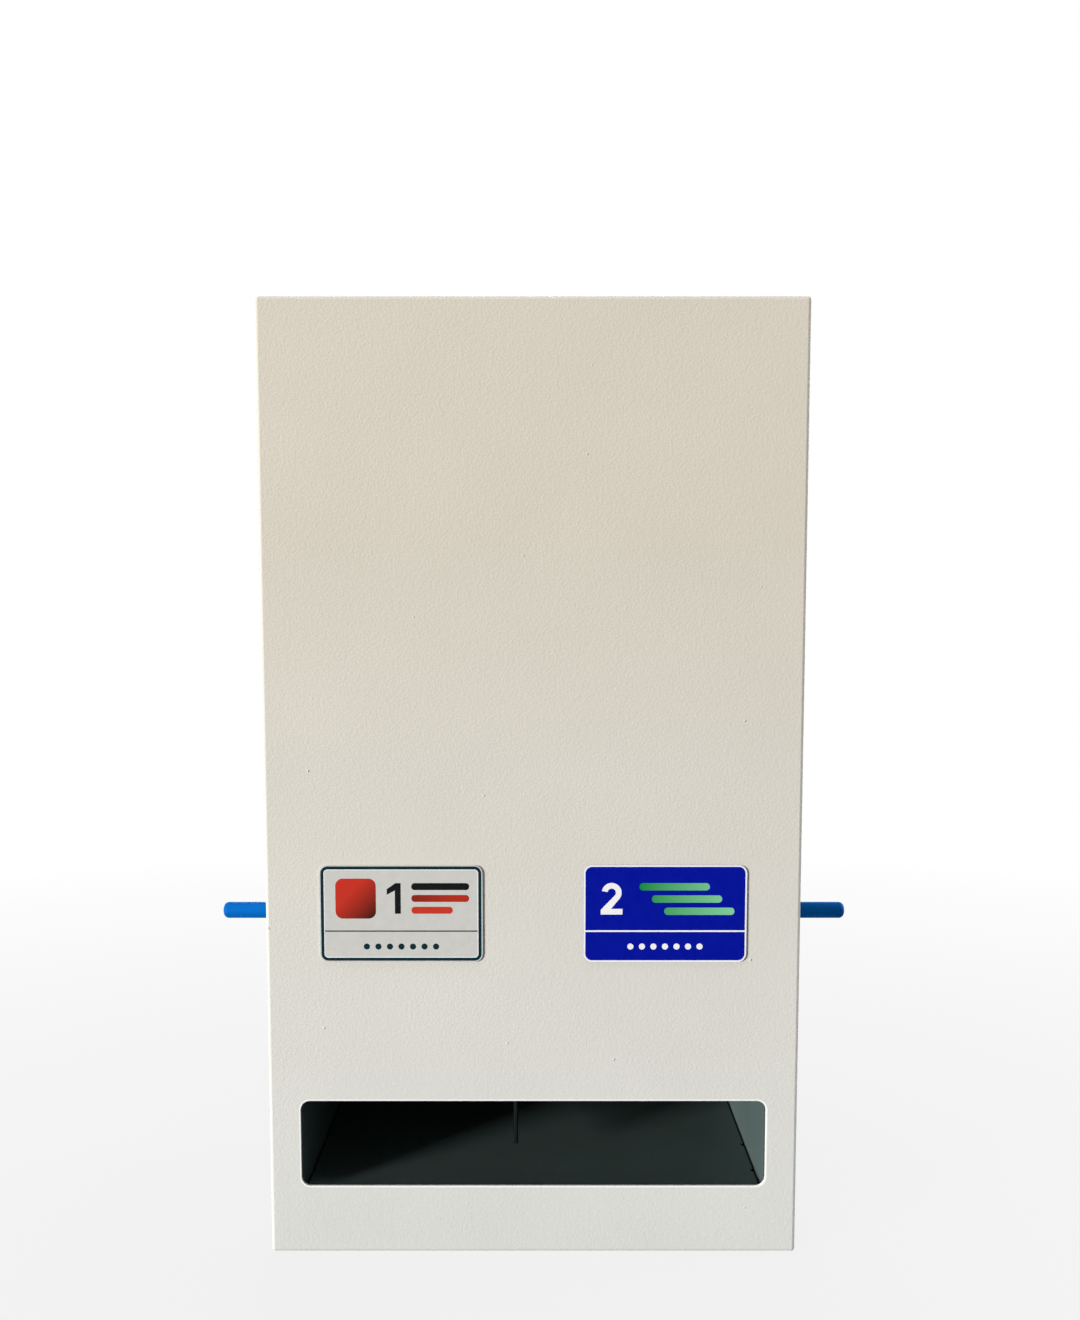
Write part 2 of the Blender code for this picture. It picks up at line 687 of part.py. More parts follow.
def make_divider():
    """Plate between the two columns, hemmed in front and flanged at the back."""
    outline = [
        (DIVIDER_FRONT_Y, DIVIDER_BOTTOM), (DIVIDER_STEP_Y, DIVIDER_BOTTOM),
        (DIVIDER_STEP_Y, DIVIDER_STEP_Z), (FRAME_BACK_Y, DIVIDER_STEP_Z),
        (FRAME_BACK_Y, FRAME_TOP), (LIP_FRONT_Y, FRAME_TOP),
        (LIP_FRONT_Y, SHAFT_WALL_TOP + WALL_RISE), (DIVIDER_FRONT_Y, SHAFT_WALL_TOP),
    ]
    plate = piece("column_divider", prism(outline, "X", DIVIDER_LEFT, DIVIDER_RIGHT), DARK_PAINT)
    half = HEM_THICKNESS / 2
    hem = rounded_rectangle(
        DIVIDER_MIDDLE - half, DIVIDER_MIDDLE + half,
        DIVIDER_FRONT_Y, DIVIDER_FRONT_Y + HEM_WIDTH, half * HEM_ROUND_SHARE,
    )
    fuse(plate, prism(hem, "Z", DIVIDER_BOTTOM, SHAFT_WALL_TOP))
    rear = (FRAME_BACK_Y - FRAME_SHEET, FRAME_BACK_Y)
    flange = (DIVIDER_LEFT, DIVIDER_RIGHT + FRAME_FLANGE)
    fuse(plate, block(flange, rear, (DIVIDER_STEP_Z, FRAME_TOP)))
    ends = (DIVIDER_LEFT - OVERRUN, DIVIDER_RIGHT + OVERRUN)
    cut(plate, rod("X", (SHAFT_Y, SHAFT_HEIGHT), BUSH_RADIUS + GAP, *ends))
    return plate


def make_chute_floor():
    """Sloping floor with a lip in front and a wall behind, notched over the lugs."""
    front = HORN_FRONT_Y + FRAME_SHEET
    back = FRAME_BACK_Y - FRAME_SHEET
    path = [
        (front, floor_top(front) - FLOOR_LIP), (front, floor_top(front)),
        (back, floor_top(back)), (back, CHUTE_WALL_TOP),
    ]
    outline = folded(list(reversed(path)), FRAME_SHEET)
    half = FRAME_HALF - GAP
    chute = piece("chute_floor", prism(outline, "X", -half, half), DARK_PAINT)
    for side in (-1, 1):
        for depth in (NOTCH_FRONT_DEPTH, NOTCH_REAR_DEPTH):
            y = FACE_Y + depth
            notch = sorted(pair(half - NOTCH_DEPTH, half + OVERRUN, side))
            top = floor_top(y) + OVERRUN
            low = floor_top(y) - FRAME_SHEET - OVERRUN
            notch_y = (y - NOTCH_WIDTH / 2, y + NOTCH_WIDTH / 2)
            cut(chute, block(notch, notch_y, (low, top)))
    return chute


def make_napkin_lip(name, wall, inward):
    """Angle strip that keeps the stack of napkin packs in its column."""
    x = wall + inward * GAP
    path = [(x, COLUMN_FRONT_Y + LIP_WIDTH), (x, LIP_FRONT_Y), (x + inward * LIP_WIDTH, LIP_FRONT_Y)]
    if inward < 0:
        path = list(reversed(path))
    outline = folded(path, LIP_SHEET)
    top = FRAME_TOP - GUIDE_LOADING_CUT
    return piece(name, prism(outline, "Z", LIP_BOTTOM, top), DARK_PAINT)


def make_guide(name, y, outward, top):
    """Channel that closes one side of the narrow column."""
    left = DIVIDER_RIGHT + GAP
    right = FRAME_HALF - GAP
    reach = y + outward * (GUIDE_SHEET + GUIDE_FLANGE)
    path = [(left, reach), (left, y), (right, y), (right, reach)]
    if outward > 0:
        path = list(reversed(path))
    outline = folded(list(reversed(path)), GUIDE_SHEET)
    return piece(name, prism(outline, "Z", GUIDE_BOTTOM, top), ZINC)


def make_side_bush(name, side):
    """Flanged nylon bush in a side plate."""
    bore = SHAFT_RADIUS + GAP
    inner = FRAME_HALF - END_PLAY
    seat = FRAME_OUTER + GAP
    profile = [
        (side * inner, bore), (side * inner, BUSH_RADIUS), (side * seat, BUSH_RADIUS),
        (side * seat, BUSH_FLANGE_RADIUS), (side * BUSH_OUTER, BUSH_FLANGE_RADIUS),
        (side * BUSH_OUTER, bore),
    ]
    shape = turned(profile, "X", (SHAFT_Y, SHAFT_HEIGHT), ring=True)
    return piece(name, shape, NYLON, rounded=True)


def make_centre_block():
    """Bearing in the divider for the inner ends of both shafts."""
    bore = SHAFT_RADIUS + GAP
    left = DIVIDER_LEFT - BLOCK_REACH
    right = DIVIDER_RIGHT + BLOCK_REACH
    seat = DIVIDER_RIGHT + GAP
    profile = [
        (left, bore), (left, BUSH_RADIUS), (seat, BUSH_RADIUS),
        (seat, BUSH_FLANGE_RADIUS), (right, BUSH_FLANGE_RADIUS), (right, bore),
    ]
    shape = turned(profile, "X", (SHAFT_Y, SHAFT_HEIGHT), ring=True)
    return piece("centre_bearing_block", shape, NYLON, rounded=True)


def make_shaft(name, side, inner):
    """Lever shaft with a groove for its clip."""
    clip_from = ARM_OUTER + 2 * GAP
    clip_to = clip_from + CLIP_THICKNESS
    groove = SHAFT_RADIUS - CLIP_GROOVE_DEPTH
    tip = clip_to + GAP + SHAFT_TIP
    profile = [
        (inner, 0), (inner, SHAFT_RADIUS), (side * (clip_from - GAP), SHAFT_RADIUS),
        (side * (clip_from - GAP), groove), (side * (clip_to + GAP), groove),
        (side * (clip_to + GAP), SHAFT_RADIUS), (side * tip, SHAFT_RADIUS), (side * tip, 0),
    ]
    shape = turned(profile, "X", (SHAFT_Y, SHAFT_HEIGHT))
    return piece(name, shape, STEEL, rounded=True)


def make_clip(name, side):
    """Open spring clip that sits in the shaft's groove."""
    start = -math.pi / 2 + CLIP_MOUTH / 2
    end = 3 * math.pi / 2 - CLIP_MOUTH / 2
    centre = (SHAFT_Y, SHAFT_HEIGHT)
    outline = arc(centre, CLIP_RADIUS, start, end, ROUND_STEPS)
    outline += arc(centre, SHAFT_RADIUS - CLIP_GROOVE_DEPTH + GAP, end, start, ROUND_STEPS)
    low = ARM_OUTER + 2 * GAP
    walls = pair(low, low + CLIP_THICKNESS, side)
    return piece(name, prism(outline, "X", *walls), STEEL)


def make_arm(name, side):
    """Lever arm with its collar, its tail and the pin that the spring pulls."""
    hub = (SHAFT_Y, SHAFT_HEIGHT)
    walls = pair(ARM_INNER, ARM_OUTER, side)
    arms = (((ROD_Y, ROD_Z), ARM_ROD_END_RADIUS), ((PIN_TOP_Y, PIN_TOP_Z), ARM_TAIL_RADIUS))
    outline = crank(hub, ARM_HUB_RADIUS, arms)
    arm = piece(name, prism(outline, "X", *walls), ZINC, rounded=True)
    end = SPRING_X - WIRE_RADIUS - GAP
    profile = [
        (side * (end - HOOK_HEAD), 0), (side * (end - HOOK_HEAD), HOOK_HEAD_RADIUS),
        (side * end, HOOK_HEAD_RADIUS), (side * end, HOOK_PIN_RADIUS),
        (side * (ARM_INNER + ARM_THICKNESS / 2), HOOK_PIN_RADIUS),
        (side * (ARM_INNER + ARM_THICKNESS / 2), 0),
    ]
    fuse(arm, turned(profile, "X", (PIN_TOP_Y, PIN_TOP_Z), SMALL_STEPS))
    collar = pair(COLLAR_INNER, ARM_INNER + ARM_THICKNESS / 2, side)
    fuse(arm, rod("X", hub, COLLAR_RADIUS, *collar))
    cut_screw_hole(arm, side * COLLAR_MIDDLE, -REST_ANGLE, COLLAR_RADIUS)
    through = pair(COLLAR_INNER - OVERRUN, ARM_OUTER + OVERRUN, side)
    cut(arm, rod("X", hub, SHAFT_RADIUS + GAP, *through))
    through = pair(ARM_INNER - OVERRUN, ARM_OUTER + OVERRUN, side)
    return cut(arm, rod("X", (ROD_Y, ROD_Z), ROD_RADIUS + GAP, *through))


def screw_shape(x, turn, radius, low, high, socket=False):
    """A round bar that stands square on a shaft, turned about it from upright."""
    profile = [(low, 0), (low, radius), (high, radius)]
    if socket:
        floor = high - SOCKET_DEPTH
        profile += [(high, SOCKET_RADIUS), (floor, SOCKET_RADIUS), (floor, 0)]
    else:
        profile += [(high, 0)]
    shape = turned(profile, "Z", (0, 0), SMALL_STEPS)
    place = Matrix.Translation((x, SHAFT_Y, SHAFT_HEIGHT)) @ Matrix.Rotation(turn, 4, "X")
    bmesh.ops.transform(shape, matrix=place, verts=shape.verts)
    return shape


def make_set_screw(name, x, turn, high):
    """Socket screw that grips the shaft through what turns with it."""
    shape = screw_shape(x, turn, SET_SCREW_RADIUS, SHAFT_RADIUS + GAP, high, socket=True)
    return piece(name, shape, STEEL, rounded=True)


def cut_screw_hole(target, x, turn, high):
    """Hole for a set screw, from inside the bore to past the outer face."""
    hole = screw_shape(x, turn, SET_SCREW_RADIUS + GAP, SHAFT_RADIUS / 2, high + OVERRUN)
    return cut(target, hole)


def make_rod(name, side):
    """Steel rod riveted in the arm, inside the grip."""
    head = ARM_INNER - GAP - ROD_HEAD
    tip = GRIP_END - GRIP_END_WALL - GAP
    profile = [
        (side * head, 0), (side * head, ROD_HEAD_RADIUS), (side * (head + ROD_HEAD), ROD_HEAD_RADIUS),
        (side * (head + ROD_HEAD), ROD_RADIUS), (side * tip, ROD_RADIUS), (side * tip, 0),
    ]
    shape = turned(profile, "X", (ROD_Y, ROD_Z))
    return piece(name, shape, STEEL, rounded=True)


def make_grip(name, side):
    """Soft blue sleeve with a round closed end."""
    inner = ARM_OUTER + 2 * GAP
    bore = ROD_RADIUS + GAP
    floor = GRIP_END - GRIP_END_WALL
    profile = [
        (side * floor, 0), (side * floor, bore), (side * inner, bore), (side * inner, GRIP_RADIUS),
    ]
    flat = GRIP_RADIUS - GRIP_END_ROUND
    for k in range(CORNER_STEPS + 1):
        angle = math.pi / 2 * k / CORNER_STEPS
        x = GRIP_END - GRIP_END_ROUND + GRIP_END_ROUND * math.sin(angle)
        profile.append((side * x, flat + GRIP_END_ROUND * math.cos(angle)))
    profile.append((side * GRIP_END, 0))
    shape = turned(profile, "X", (ROD_Y, ROD_Z))
    return piece(name, shape, BLUE, rounded=True)


def make_rest_bumper(name, side):
    """Rubber stop that the arm lies against at rest."""
    away = ARM_HUB_RADIUS + (ARM_ROD_END_RADIUS - ARM_HUB_RADIUS) * BUMPER_ALONG_ARM / ROD_THROW
    away += 2 * GAP + BUMPER_RADIUS
    y = SHAFT_Y - BUMPER_ALONG_ARM * math.cos(REST_ANGLE) + away * math.sin(REST_ANGLE)
    z = SHAFT_HEIGHT + BUMPER_ALONG_ARM * math.sin(REST_ANGLE) + away * math.cos(REST_ANGLE)
    ends = pair(FRAME_OUTER + GAP, ARM_OUTER + BUMPER_PAST_ARM, side)
    return piece(name, rod("X", (y, z), BUMPER_RADIUS, *ends, SMALL_STEPS), RUBBER, rounded=True)


def make_spring_post(name, side):
    """Headed post on the side plate that anchors the spring."""
    base = FRAME_OUTER + GAP
    neck = SPRING_X + WIRE_RADIUS + GAP
    profile = [
        (side * base, 0), (side * base, POST_BASE_RADIUS), (side * (base + POST_BASE), POST_BASE_RADIUS),
        (side * (base + POST_BASE), HOOK_PIN_RADIUS), (side * neck, HOOK_PIN_RADIUS),
        (side * neck, HOOK_HEAD_RADIUS), (side * (neck + HOOK_HEAD), HOOK_HEAD_RADIUS),
        (side * (neck + HOOK_HEAD), 0),
    ]
    shape = turned(profile, "X", (PIN_TOP_Y, POST_Z), SMALL_STEPS)
    return piece(name, shape, STEEL, rounded=True)


def spring_line(side):
    """Middle line of the wire: a hook, the close turns and the other hook."""
    x = side * SPRING_X
    hook = HOOK_PIN_RADIUS + GAP + WIRE_RADIUS
    low = POST_Z + hook + HOOK_NECK
    high = PIN_TOP_Z - hook - HOOK_NECK
    points = []
    for k in range(HOOK_STEPS + 1):
        angle = math.pi / 2 - HOOK_SWEEP * (1 - k / HOOK_STEPS)
        points.append((x, PIN_TOP_Y + hook * math.cos(angle), POST_Z + hook * math.sin(angle)))
    count = COIL_TURNS * COIL_STEPS
    for k in range(count + 1):
        angle = 2 * math.pi * k / COIL_STEPS
        rise = low + (high - low) * k / count
        points.append((x + COIL_RADIUS * math.sin(angle), PIN_TOP_Y + COIL_RADIUS * math.cos(angle), rise))
    for k in range(HOOK_STEPS + 1):
        angle = -math.pi / 2 - HOOK_SWEEP * k / HOOK_STEPS
        points.append((x, PIN_TOP_Y + hook * math.cos(angle), PIN_TOP_Z + hook * math.sin(angle)))
    return points


def make_spring(name, side):
    """Extension spring between the post and the arm's tail."""
    points = spring_line(side)
    line = bpy.data.curves.new(name, "CURVE")
    line.dimensions = "3D"
    line.bevel_depth = WIRE_RADIUS
    line.bevel_resolution = 1
    line.use_fill_caps = True
    run = line.splines.new("POLY")
    run.points.add(len(points) - 1)
    for point, place in zip(run.points, points):
        point.co = (*place, 1)
    made = bpy.data.objects.new(name, line)
    bpy.context.scene.collection.objects.link(made)
    made.data.materials.append(look(name, STEEL))
    return made


def least_spring_gap():
    """Smallest space between two stretches of the wire that aren't neighbours."""
    points = [Vector(p) for p in spring_line(1)]
    skip = COIL_STEPS // 2
    least = min((a - b).length for i, a in enumerate(points) for b in points[i + skip:])
    return least - 2 * WIRE_RADIUS


def make_napkin_rotor():
    """Sheet cradle between two cheeks. Its curved back holds up the stack while it tips."""
    outer = FRAME_HALF - 2 * END_PLAY
    left = -outer
    right = DIVIDER_LEFT - BLOCK_REACH - END_PLAY
    centre = (SHAFT_Y, SHAFT_HEIGHT)
    radius = NAPKIN_ROTOR_RADIUS - CRADLE_INSET
    inner = radius - FRAME_SHEET
    lean = math.asin(CRADLE_HEIGHT / radius)
    corner = math.asin((CRADLE_HEIGHT - FRAME_SHEET) / inner)
    floor = SHAFT_HEIGHT + CRADLE_HEIGHT
    front = SHAFT_Y - radius * math.cos(lean)
    outline = arc(centre, radius, -CRADLE_TAIL, lean, SMALL_STEPS)
    outline += [(front, floor), (front, floor - FRAME_SHEET)]
    outline += arc(centre, inner, corner, -CRADLE_TAIL, SMALL_STEPS)
    tuck = FRAME_SHEET / 2
    shape = prism(outline, "X", left + tuck, right - tuck)
    rotor = piece("napkin_rotor", shape, ZINC, rounded=True)
    top = math.asin(CHEEK_HEIGHT / NAPKIN_ROTOR_RADIUS)
    cheek = arc(centre, NAPKIN_ROTOR_RADIUS, math.pi - top, 2 * math.pi + top, ROUND_STEPS)
    for face, inward in ((left, 1), (right, -1)):
        fuse(rotor, prism(cheek, "X", face, face + inward * FRAME_SHEET))
        hub_end = face + inward * ROTOR_HUB_LENGTH
        fuse(rotor, rod("X", centre, ROTOR_HUB_RADIUS, face + inward * tuck, hub_end))
    cut_screw_hole(rotor, HUB_SCREW_X, HUB_SCREW_TURN, ROTOR_HUB_RADIUS)
    return cut(rotor, rod("X", centre, SHAFT_RADIUS + GAP, left - OVERRUN, right + OVERRUN))


def make_tampon_rotor():
    """Moulded drum with one pocket along its top and hollow cells below."""
    left = DIVIDER_RIGHT + BLOCK_REACH + END_PLAY
    right = FRAME_HALF - 2 * END_PLAY
    centre = (SHAFT_Y, SHAFT_HEIGHT)
    rim = math.pi / 2 - POCKET_HALF_ANGLE
    outline = arc(centre, DRUM_RADIUS, math.pi - rim, 2 * math.pi + rim, ROUND_STEPS)
    outline += [
        (SHAFT_Y + POCKET_BOTTOM_HALF, SHAFT_HEIGHT + POCKET_FLOOR),
        (SHAFT_Y - POCKET_BOTTOM_HALF, SHAFT_HEIGHT + POCKET_FLOOR),
    ]
    drum = piece("tampon_rotor", prism(outline, "X", left, right), DRUM_GREY, rounded=True)
    through = (left - OVERRUN, right + OVERRUN)
    low = ROTOR_HUB_RADIUS + DRUM_WALL / 2
    high = DRUM_RADIUS - DRUM_WALL
    bottom = 3 * math.pi / 2
    spans = (
        (DRUM_CELL_START, bottom - DRUM_WEB_HALF_ANGLE),
        (bottom + DRUM_WEB_HALF_ANGLE, 3 * math.pi - DRUM_CELL_START),
    )
    for start, end in spans:
        cell = arc(centre, high, start, end, SMALL_STEPS // 2)
        cell += arc(centre, low, end, start, SMALL_STEPS // 2)
        cut(drum, prism(cell, "X", *through))
    cut_screw_hole(drum, DRUM_MIDDLE, 0, POCKET_FLOOR)
    return cut(drum, rod("X", centre, SHAFT_RADIUS + GAP, *through))


def make_lock_body():
    """Round head outside, threaded barrel through the wall."""
    head = HALF_WIDTH + GAP
    top = head + LOCK_HEAD
    bore = PLUG_RADIUS + GAP
    profile = [
        (BARREL_END, bore), (BARREL_END, LOCK_BARREL_RADIUS), (head, LOCK_BARREL_RADIUS),
        (head, LOCK_HEAD_RADIUS), (top - LOCK_HEAD_ROUND, LOCK_HEAD_RADIUS),
        (top, LOCK_HEAD_RADIUS - LOCK_HEAD_ROUND), (top, bore),
    ]
    shape = turned(profile, "X", (LOCK_Y, LOCK_HEIGHT), ring=True)
    return piece("lock_body", shape, STEEL, rounded=True)


def make_lock_nut():
    """Thin hexagon nut behind the wall."""
    centre = (LOCK_Y, LOCK_HEIGHT)
    high = INNER_HALF - GAP
    nut = piece("lock_nut", rod("X", centre, LOCK_NUT_RADIUS, high - LOCK_NUT, high, 6), STEEL)
    hole = rod("X", centre, LOCK_BARREL_RADIUS + GAP, high - LOCK_NUT - OVERRUN, high + OVERRUN)
    return cut(nut, hole)


def make_lock_plug():
    """Turning core with the keyway in front and the neck for the cam behind."""
    face = HALF_WIDTH + GAP + LOCK_HEAD - PLUG_INSET
    shoulder = CAM_OUTER + GAP
    profile = [
        (CAM_INNER, 0), (CAM_INNER, PLUG_NECK_RADIUS), (shoulder, PLUG_NECK_RADIUS),
        (shoulder, PLUG_RADIUS), (face, PLUG_RADIUS), (face, 0),
    ]
    shape = turned(profile, "X", (LOCK_Y, LOCK_HEIGHT))
    plug = piece("lock_plug", shape, STEEL, rounded=True)
    half = KEYWAY_LENGTH / 2
    wide = KEYWAY_WIDTH / 2
    slot = block(
        (face - KEYWAY_DEPTH, face + OVERRUN), (LOCK_Y - half, LOCK_Y + half),
        (LOCK_HEIGHT - wide, LOCK_HEIGHT + wide),
    )
    return cut(plug, slot)


def make_lock_cam():
    """Flat cam that turns down in front of the keeper."""
    tip = (LOCK_Y - CAM_REACH + CAM_TIP_RADIUS, LOCK_HEIGHT)
    outline = link((LOCK_Y, LOCK_HEIGHT), CAM_HUB_RADIUS, tip, CAM_TIP_RADIUS)
    cam = piece("lock_cam", prism(outline, "X", CAM_INNER, CAM_OUTER), ZINC, rounded=True)
    ends = (CAM_INNER - OVERRUN, CAM_OUTER + OVERRUN)
    return cut(cam, rod("X", (LOCK_Y, LOCK_HEIGHT), PLUG_NECK_RADIUS + GAP, *ends))


def make_cam_screw():
    """Screw head that holds the cam on the plug."""
    high = CAM_INNER - GAP
    low = high - CAM_SCREW_HEAD
    centre = (LOCK_Y, LOCK_HEIGHT)
    shape = rod("X", centre, CAM_SCREW_RADIUS, low, high, SMALL_STEPS)
    screw = piece("cam_screw", shape, STEEL, rounded=True)
    wide = DRIVE_SLOT_WIDTH / 2
    reach = CAM_SCREW_RADIUS + OVERRUN
    slot = block(
        (low - OVERRUN, low + DRIVE_SLOT_DEPTH), (LOCK_Y - reach, LOCK_Y + reach),
        (LOCK_HEIGHT - wide, LOCK_HEIGHT + wide),
    )
    return cut(screw, slot)


def make_keeper():
    """Bracket on the door whose bent end lies behind the cam when it is down."""
    front = FACE_Y + SHEET + GAP
    leg = CAM_INNER - KEEPER_BESIDE_CAM
    tab = CAM_OUTER + KEEPER_PAST_CAM
    rear = KEEPER_TAB_Y + SHEET
    path = [(leg - KEEPER_FOOT, front), (leg, front), (leg, rear), (tab, rear)]
    path = [(x - SHEET, y) if i < 3 else (x, y) for i, (x, y) in enumerate(path)]
    outline = [
        path[0], (leg, front), (leg, KEEPER_TAB_Y), (tab, KEEPER_TAB_Y), (tab, rear),
        (leg - SHEET, rear), (leg - SHEET, front + SHEET), (path[0][0], front + SHEET),
    ]
    top = LOCK_HEIGHT - KEEPER_BELOW_LOCK
    return piece("lock_keeper", prism(outline, "Z", top - KEEPER_HEIGHT, top), ZINC)


def make_pad(name, z):
    """Rubber pad on the door's flange that quiets the closing."""
    x = INNER_HALF - FLANGE / 2
    ends = (DOOR_REAR_Y + GAP, CABINET_FRONT_Y - GAP)
    return piece(name, rod("Y", (x, z), PAD_RADIUS, *ends, SMALL_STEPS), RUBBER, rounded=True)


make_cabinet()
make_side_plate("left_side_plate", -1, LIP_FRONT_Y)
make_side_plate("right_side_plate", 1, RIGHT_WALL_Y)
make_divider()
make_chute_floor()
make_napkin_lip("left_napkin_lip", -FRAME_HALF, 1)
make_napkin_lip("right_napkin_lip", DIVIDER_LEFT, -1)
make_guide("tampon_front_guide", GUIDE_FRONT_Y, -1, FRAME_TOP - GUIDE_LOADING_CUT)
make_guide("tampon_rear_guide", GUIDE_REAR_Y, 1, FRAME_TOP)
make_centre_block()
make_hinge_leaf("hinge_leaf_cabinet", 0, HINGE_Y + GAP / 2, HINGE_Y + GAP / 2 + LEAF)
make_hinge_pin()
make_lock_body()
make_lock_nut()

door_axis = joint_frame("door_axis", Vector((HINGE_X, HINGE_Y, 0)))
lower_channel_z = MOUTH_TOP + LOWER_CHANNEL_ABOVE_MOUTH + CHANNEL_FOOT
carry(door_axis, [
    make_door(),
    make_label("left_label", -1, LABEL_WHITE),
    make_label("right_label", 1, LABEL_BLUE),
    make_channel("door_stiffener_upper", UPPER_CHANNEL_Z),
    make_channel("door_stiffener_lower", lower_channel_z),
    make_hinge_leaf("hinge_leaf_door", 1, HINGE_Y - GAP / 2 - LEAF, HINGE_Y - GAP / 2),
    make_keeper(),
    make_pad("door_pad_upper", BODY_HEIGHT - PAD_INSET),
    make_pad("door_pad_lower", PAD_INSET),
])

shaft_place = Vector((0, SHAFT_Y, SHAFT_HEIGHT))
for word, side, inner in (("left", -1, DIVIDER_MIDDLE - GAP), ("right", 1, DIVIDER_MIDDLE + GAP)):
    make_side_bush(word + "_shaft_bush", side)
    make_rest_bumper(word + "_rest_bumper", side)
    make_spring_post(word + "_spring_post", side)
    make_spring(word + "_return_spring", side)
    if side < 0:
        rotor = make_napkin_rotor()
        screw = (HUB_SCREW_X, HUB_SCREW_TURN, ROTOR_HUB_RADIUS + SET_SCREW_PROUD)
    else:
        rotor = make_tampon_rotor()
        screw = (DRUM_MIDDLE, 0, POCKET_FLOOR - GAP)
    carry(joint_frame(word + "_lever_axis", shaft_place), [
        rotor,
        make_shaft(word + "_shaft", side, inner),
        make_arm(word + "_arm", side),
        make_rod(word + "_rod", side),
        make_grip(word + "_grip", side),
        make_set_screw(
            word + "_set_screw", side * COLLAR_MIDDLE, -REST_ANGLE, COLLAR_RADIUS + SET_SCREW_PROUD
        ),
        make_set_screw(word + "_rotor_screw", *screw),
        make_clip(word + "_shaft_clip", side),
    ])

carry(joint_frame("lock_axis", Vector((0, LOCK_Y, LOCK_HEIGHT))), [
    make_lock_plug(),
    make_lock_cam(),
    make_cam_screw(),
])

print("least gap in a spring, mm:", round(least_spring_gap() * 1000, 2))
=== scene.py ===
"""Looks for a wall dispenser with two side levers: paint, metal, plastic and printed plates."""

import math

import bmesh
import bpy
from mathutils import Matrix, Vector


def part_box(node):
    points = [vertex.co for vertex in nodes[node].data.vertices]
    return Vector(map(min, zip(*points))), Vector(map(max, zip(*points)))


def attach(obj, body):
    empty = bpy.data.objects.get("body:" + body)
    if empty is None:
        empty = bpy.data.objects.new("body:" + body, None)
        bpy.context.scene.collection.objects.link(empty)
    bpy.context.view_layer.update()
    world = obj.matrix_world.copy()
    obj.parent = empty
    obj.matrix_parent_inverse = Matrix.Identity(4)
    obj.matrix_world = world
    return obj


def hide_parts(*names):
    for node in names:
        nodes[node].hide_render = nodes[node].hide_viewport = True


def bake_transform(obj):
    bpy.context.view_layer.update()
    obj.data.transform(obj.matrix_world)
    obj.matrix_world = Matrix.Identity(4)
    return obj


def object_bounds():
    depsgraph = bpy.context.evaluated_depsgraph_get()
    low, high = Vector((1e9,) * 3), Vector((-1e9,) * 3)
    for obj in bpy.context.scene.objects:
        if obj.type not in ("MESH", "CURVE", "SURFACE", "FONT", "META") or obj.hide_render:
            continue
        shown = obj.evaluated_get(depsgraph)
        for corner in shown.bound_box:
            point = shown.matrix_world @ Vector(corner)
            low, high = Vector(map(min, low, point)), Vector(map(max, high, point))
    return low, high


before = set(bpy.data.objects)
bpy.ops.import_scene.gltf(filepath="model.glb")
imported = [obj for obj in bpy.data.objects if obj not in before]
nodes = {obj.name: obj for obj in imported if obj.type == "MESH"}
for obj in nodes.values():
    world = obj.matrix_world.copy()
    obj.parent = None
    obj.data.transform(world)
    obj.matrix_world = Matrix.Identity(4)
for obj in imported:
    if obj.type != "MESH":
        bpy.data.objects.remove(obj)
cad_box = [list(corner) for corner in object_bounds()]

MM = 0.001
QUARTER = math.pi / 2
SIDES = {"left": -1, "right": 1}

# The mouth in the door, where the CAD has it, and the pale band of painted highlight round it
MOUTH_HALF = 0.1145
MOUTH_LOW = 0.0344
MOUTH_HIGH = 0.0775
MOUTH_CORNER = 0.0045
MOUTH_HIGHLIGHT_WIDTH = 0.0009
MOUTH_HIGHLIGHT_FADE = 0.00025

# Powder paint: layers of orange peel as (waves in a metre, roughness, share of the peel, height),
# nibs of stray powder, the width of the near-white painted highlight on sharp edges, and the
# heights between which the painted floor-bounce light at the foot fades out
PEEL_LAYERS = ((330, 0.5, 0.4, 0.0002), (760, 0.5, 1.0, 0.00018), (2100, 0.6, 0.8, 0.00007))
NIB_SPACING = 0.021
NIB_RADIUS = 0.0007
NIB_STRENGTH = 0.8
NIB_HEIGHT = 0.0004
EDGE_HIGHLIGHT_WIDTH = 0.0009
FLOOR_BOUNCE_LOW = 0.03
FLOOR_BOUNCE_HIGH = 0.36

# Dust in the mouth, the share of a speck's radius that is full, and the painted shade in the seam
# at each end of the chute floor, from where it starts to where it is full, both measured in from
# the end
DUST_SPACING = 0.016
DUST_RADIUS = 0.0003
SPECK_CORE = 0.4
SEAM_SHADE_START = 0.0011
SEAM_SHADE_FULL = 0.0007


# Node materials. Object coordinates are the frame's own metres, so a scale of 1000 is one wave
# in a millimetre.
EDGE_SAMPLES = 6
MIX_AMOUNT, MIX_FIRST, MIX_SECOND, MIX_RESULT = 0, 6, 7, 2


def linear(red, green, blue):
    """Screen colour to the shader's own values."""
    return tuple(
        c / 12.92 if c <= 0.04045 else ((c + 0.055) / 1.055) ** 2.4
        for c in (red / 255, green / 255, blue / 255)
    )


def scaled(colour, share):
    return tuple(min(1, c * share) for c in colour)


def new_material(name):
    made = bpy.data.materials.new(name)
    made.use_nodes = True
    return made, made.node_tree, made.node_tree.nodes["Principled BSDF"]


def add(tree, kind, **values):
    made = tree.nodes.new(kind)
    for key, value in values.items():
        setattr(made, key, value)
    return made


def feed(tree, socket, value):
    """Links a socket to another node's output, or sets it to a constant."""
    if isinstance(value, bpy.types.NodeSocket):
        tree.links.new(value, socket)
    elif socket.type == "RGBA":
        socket.default_value = (*value, 1)
    else:
        socket.default_value = value


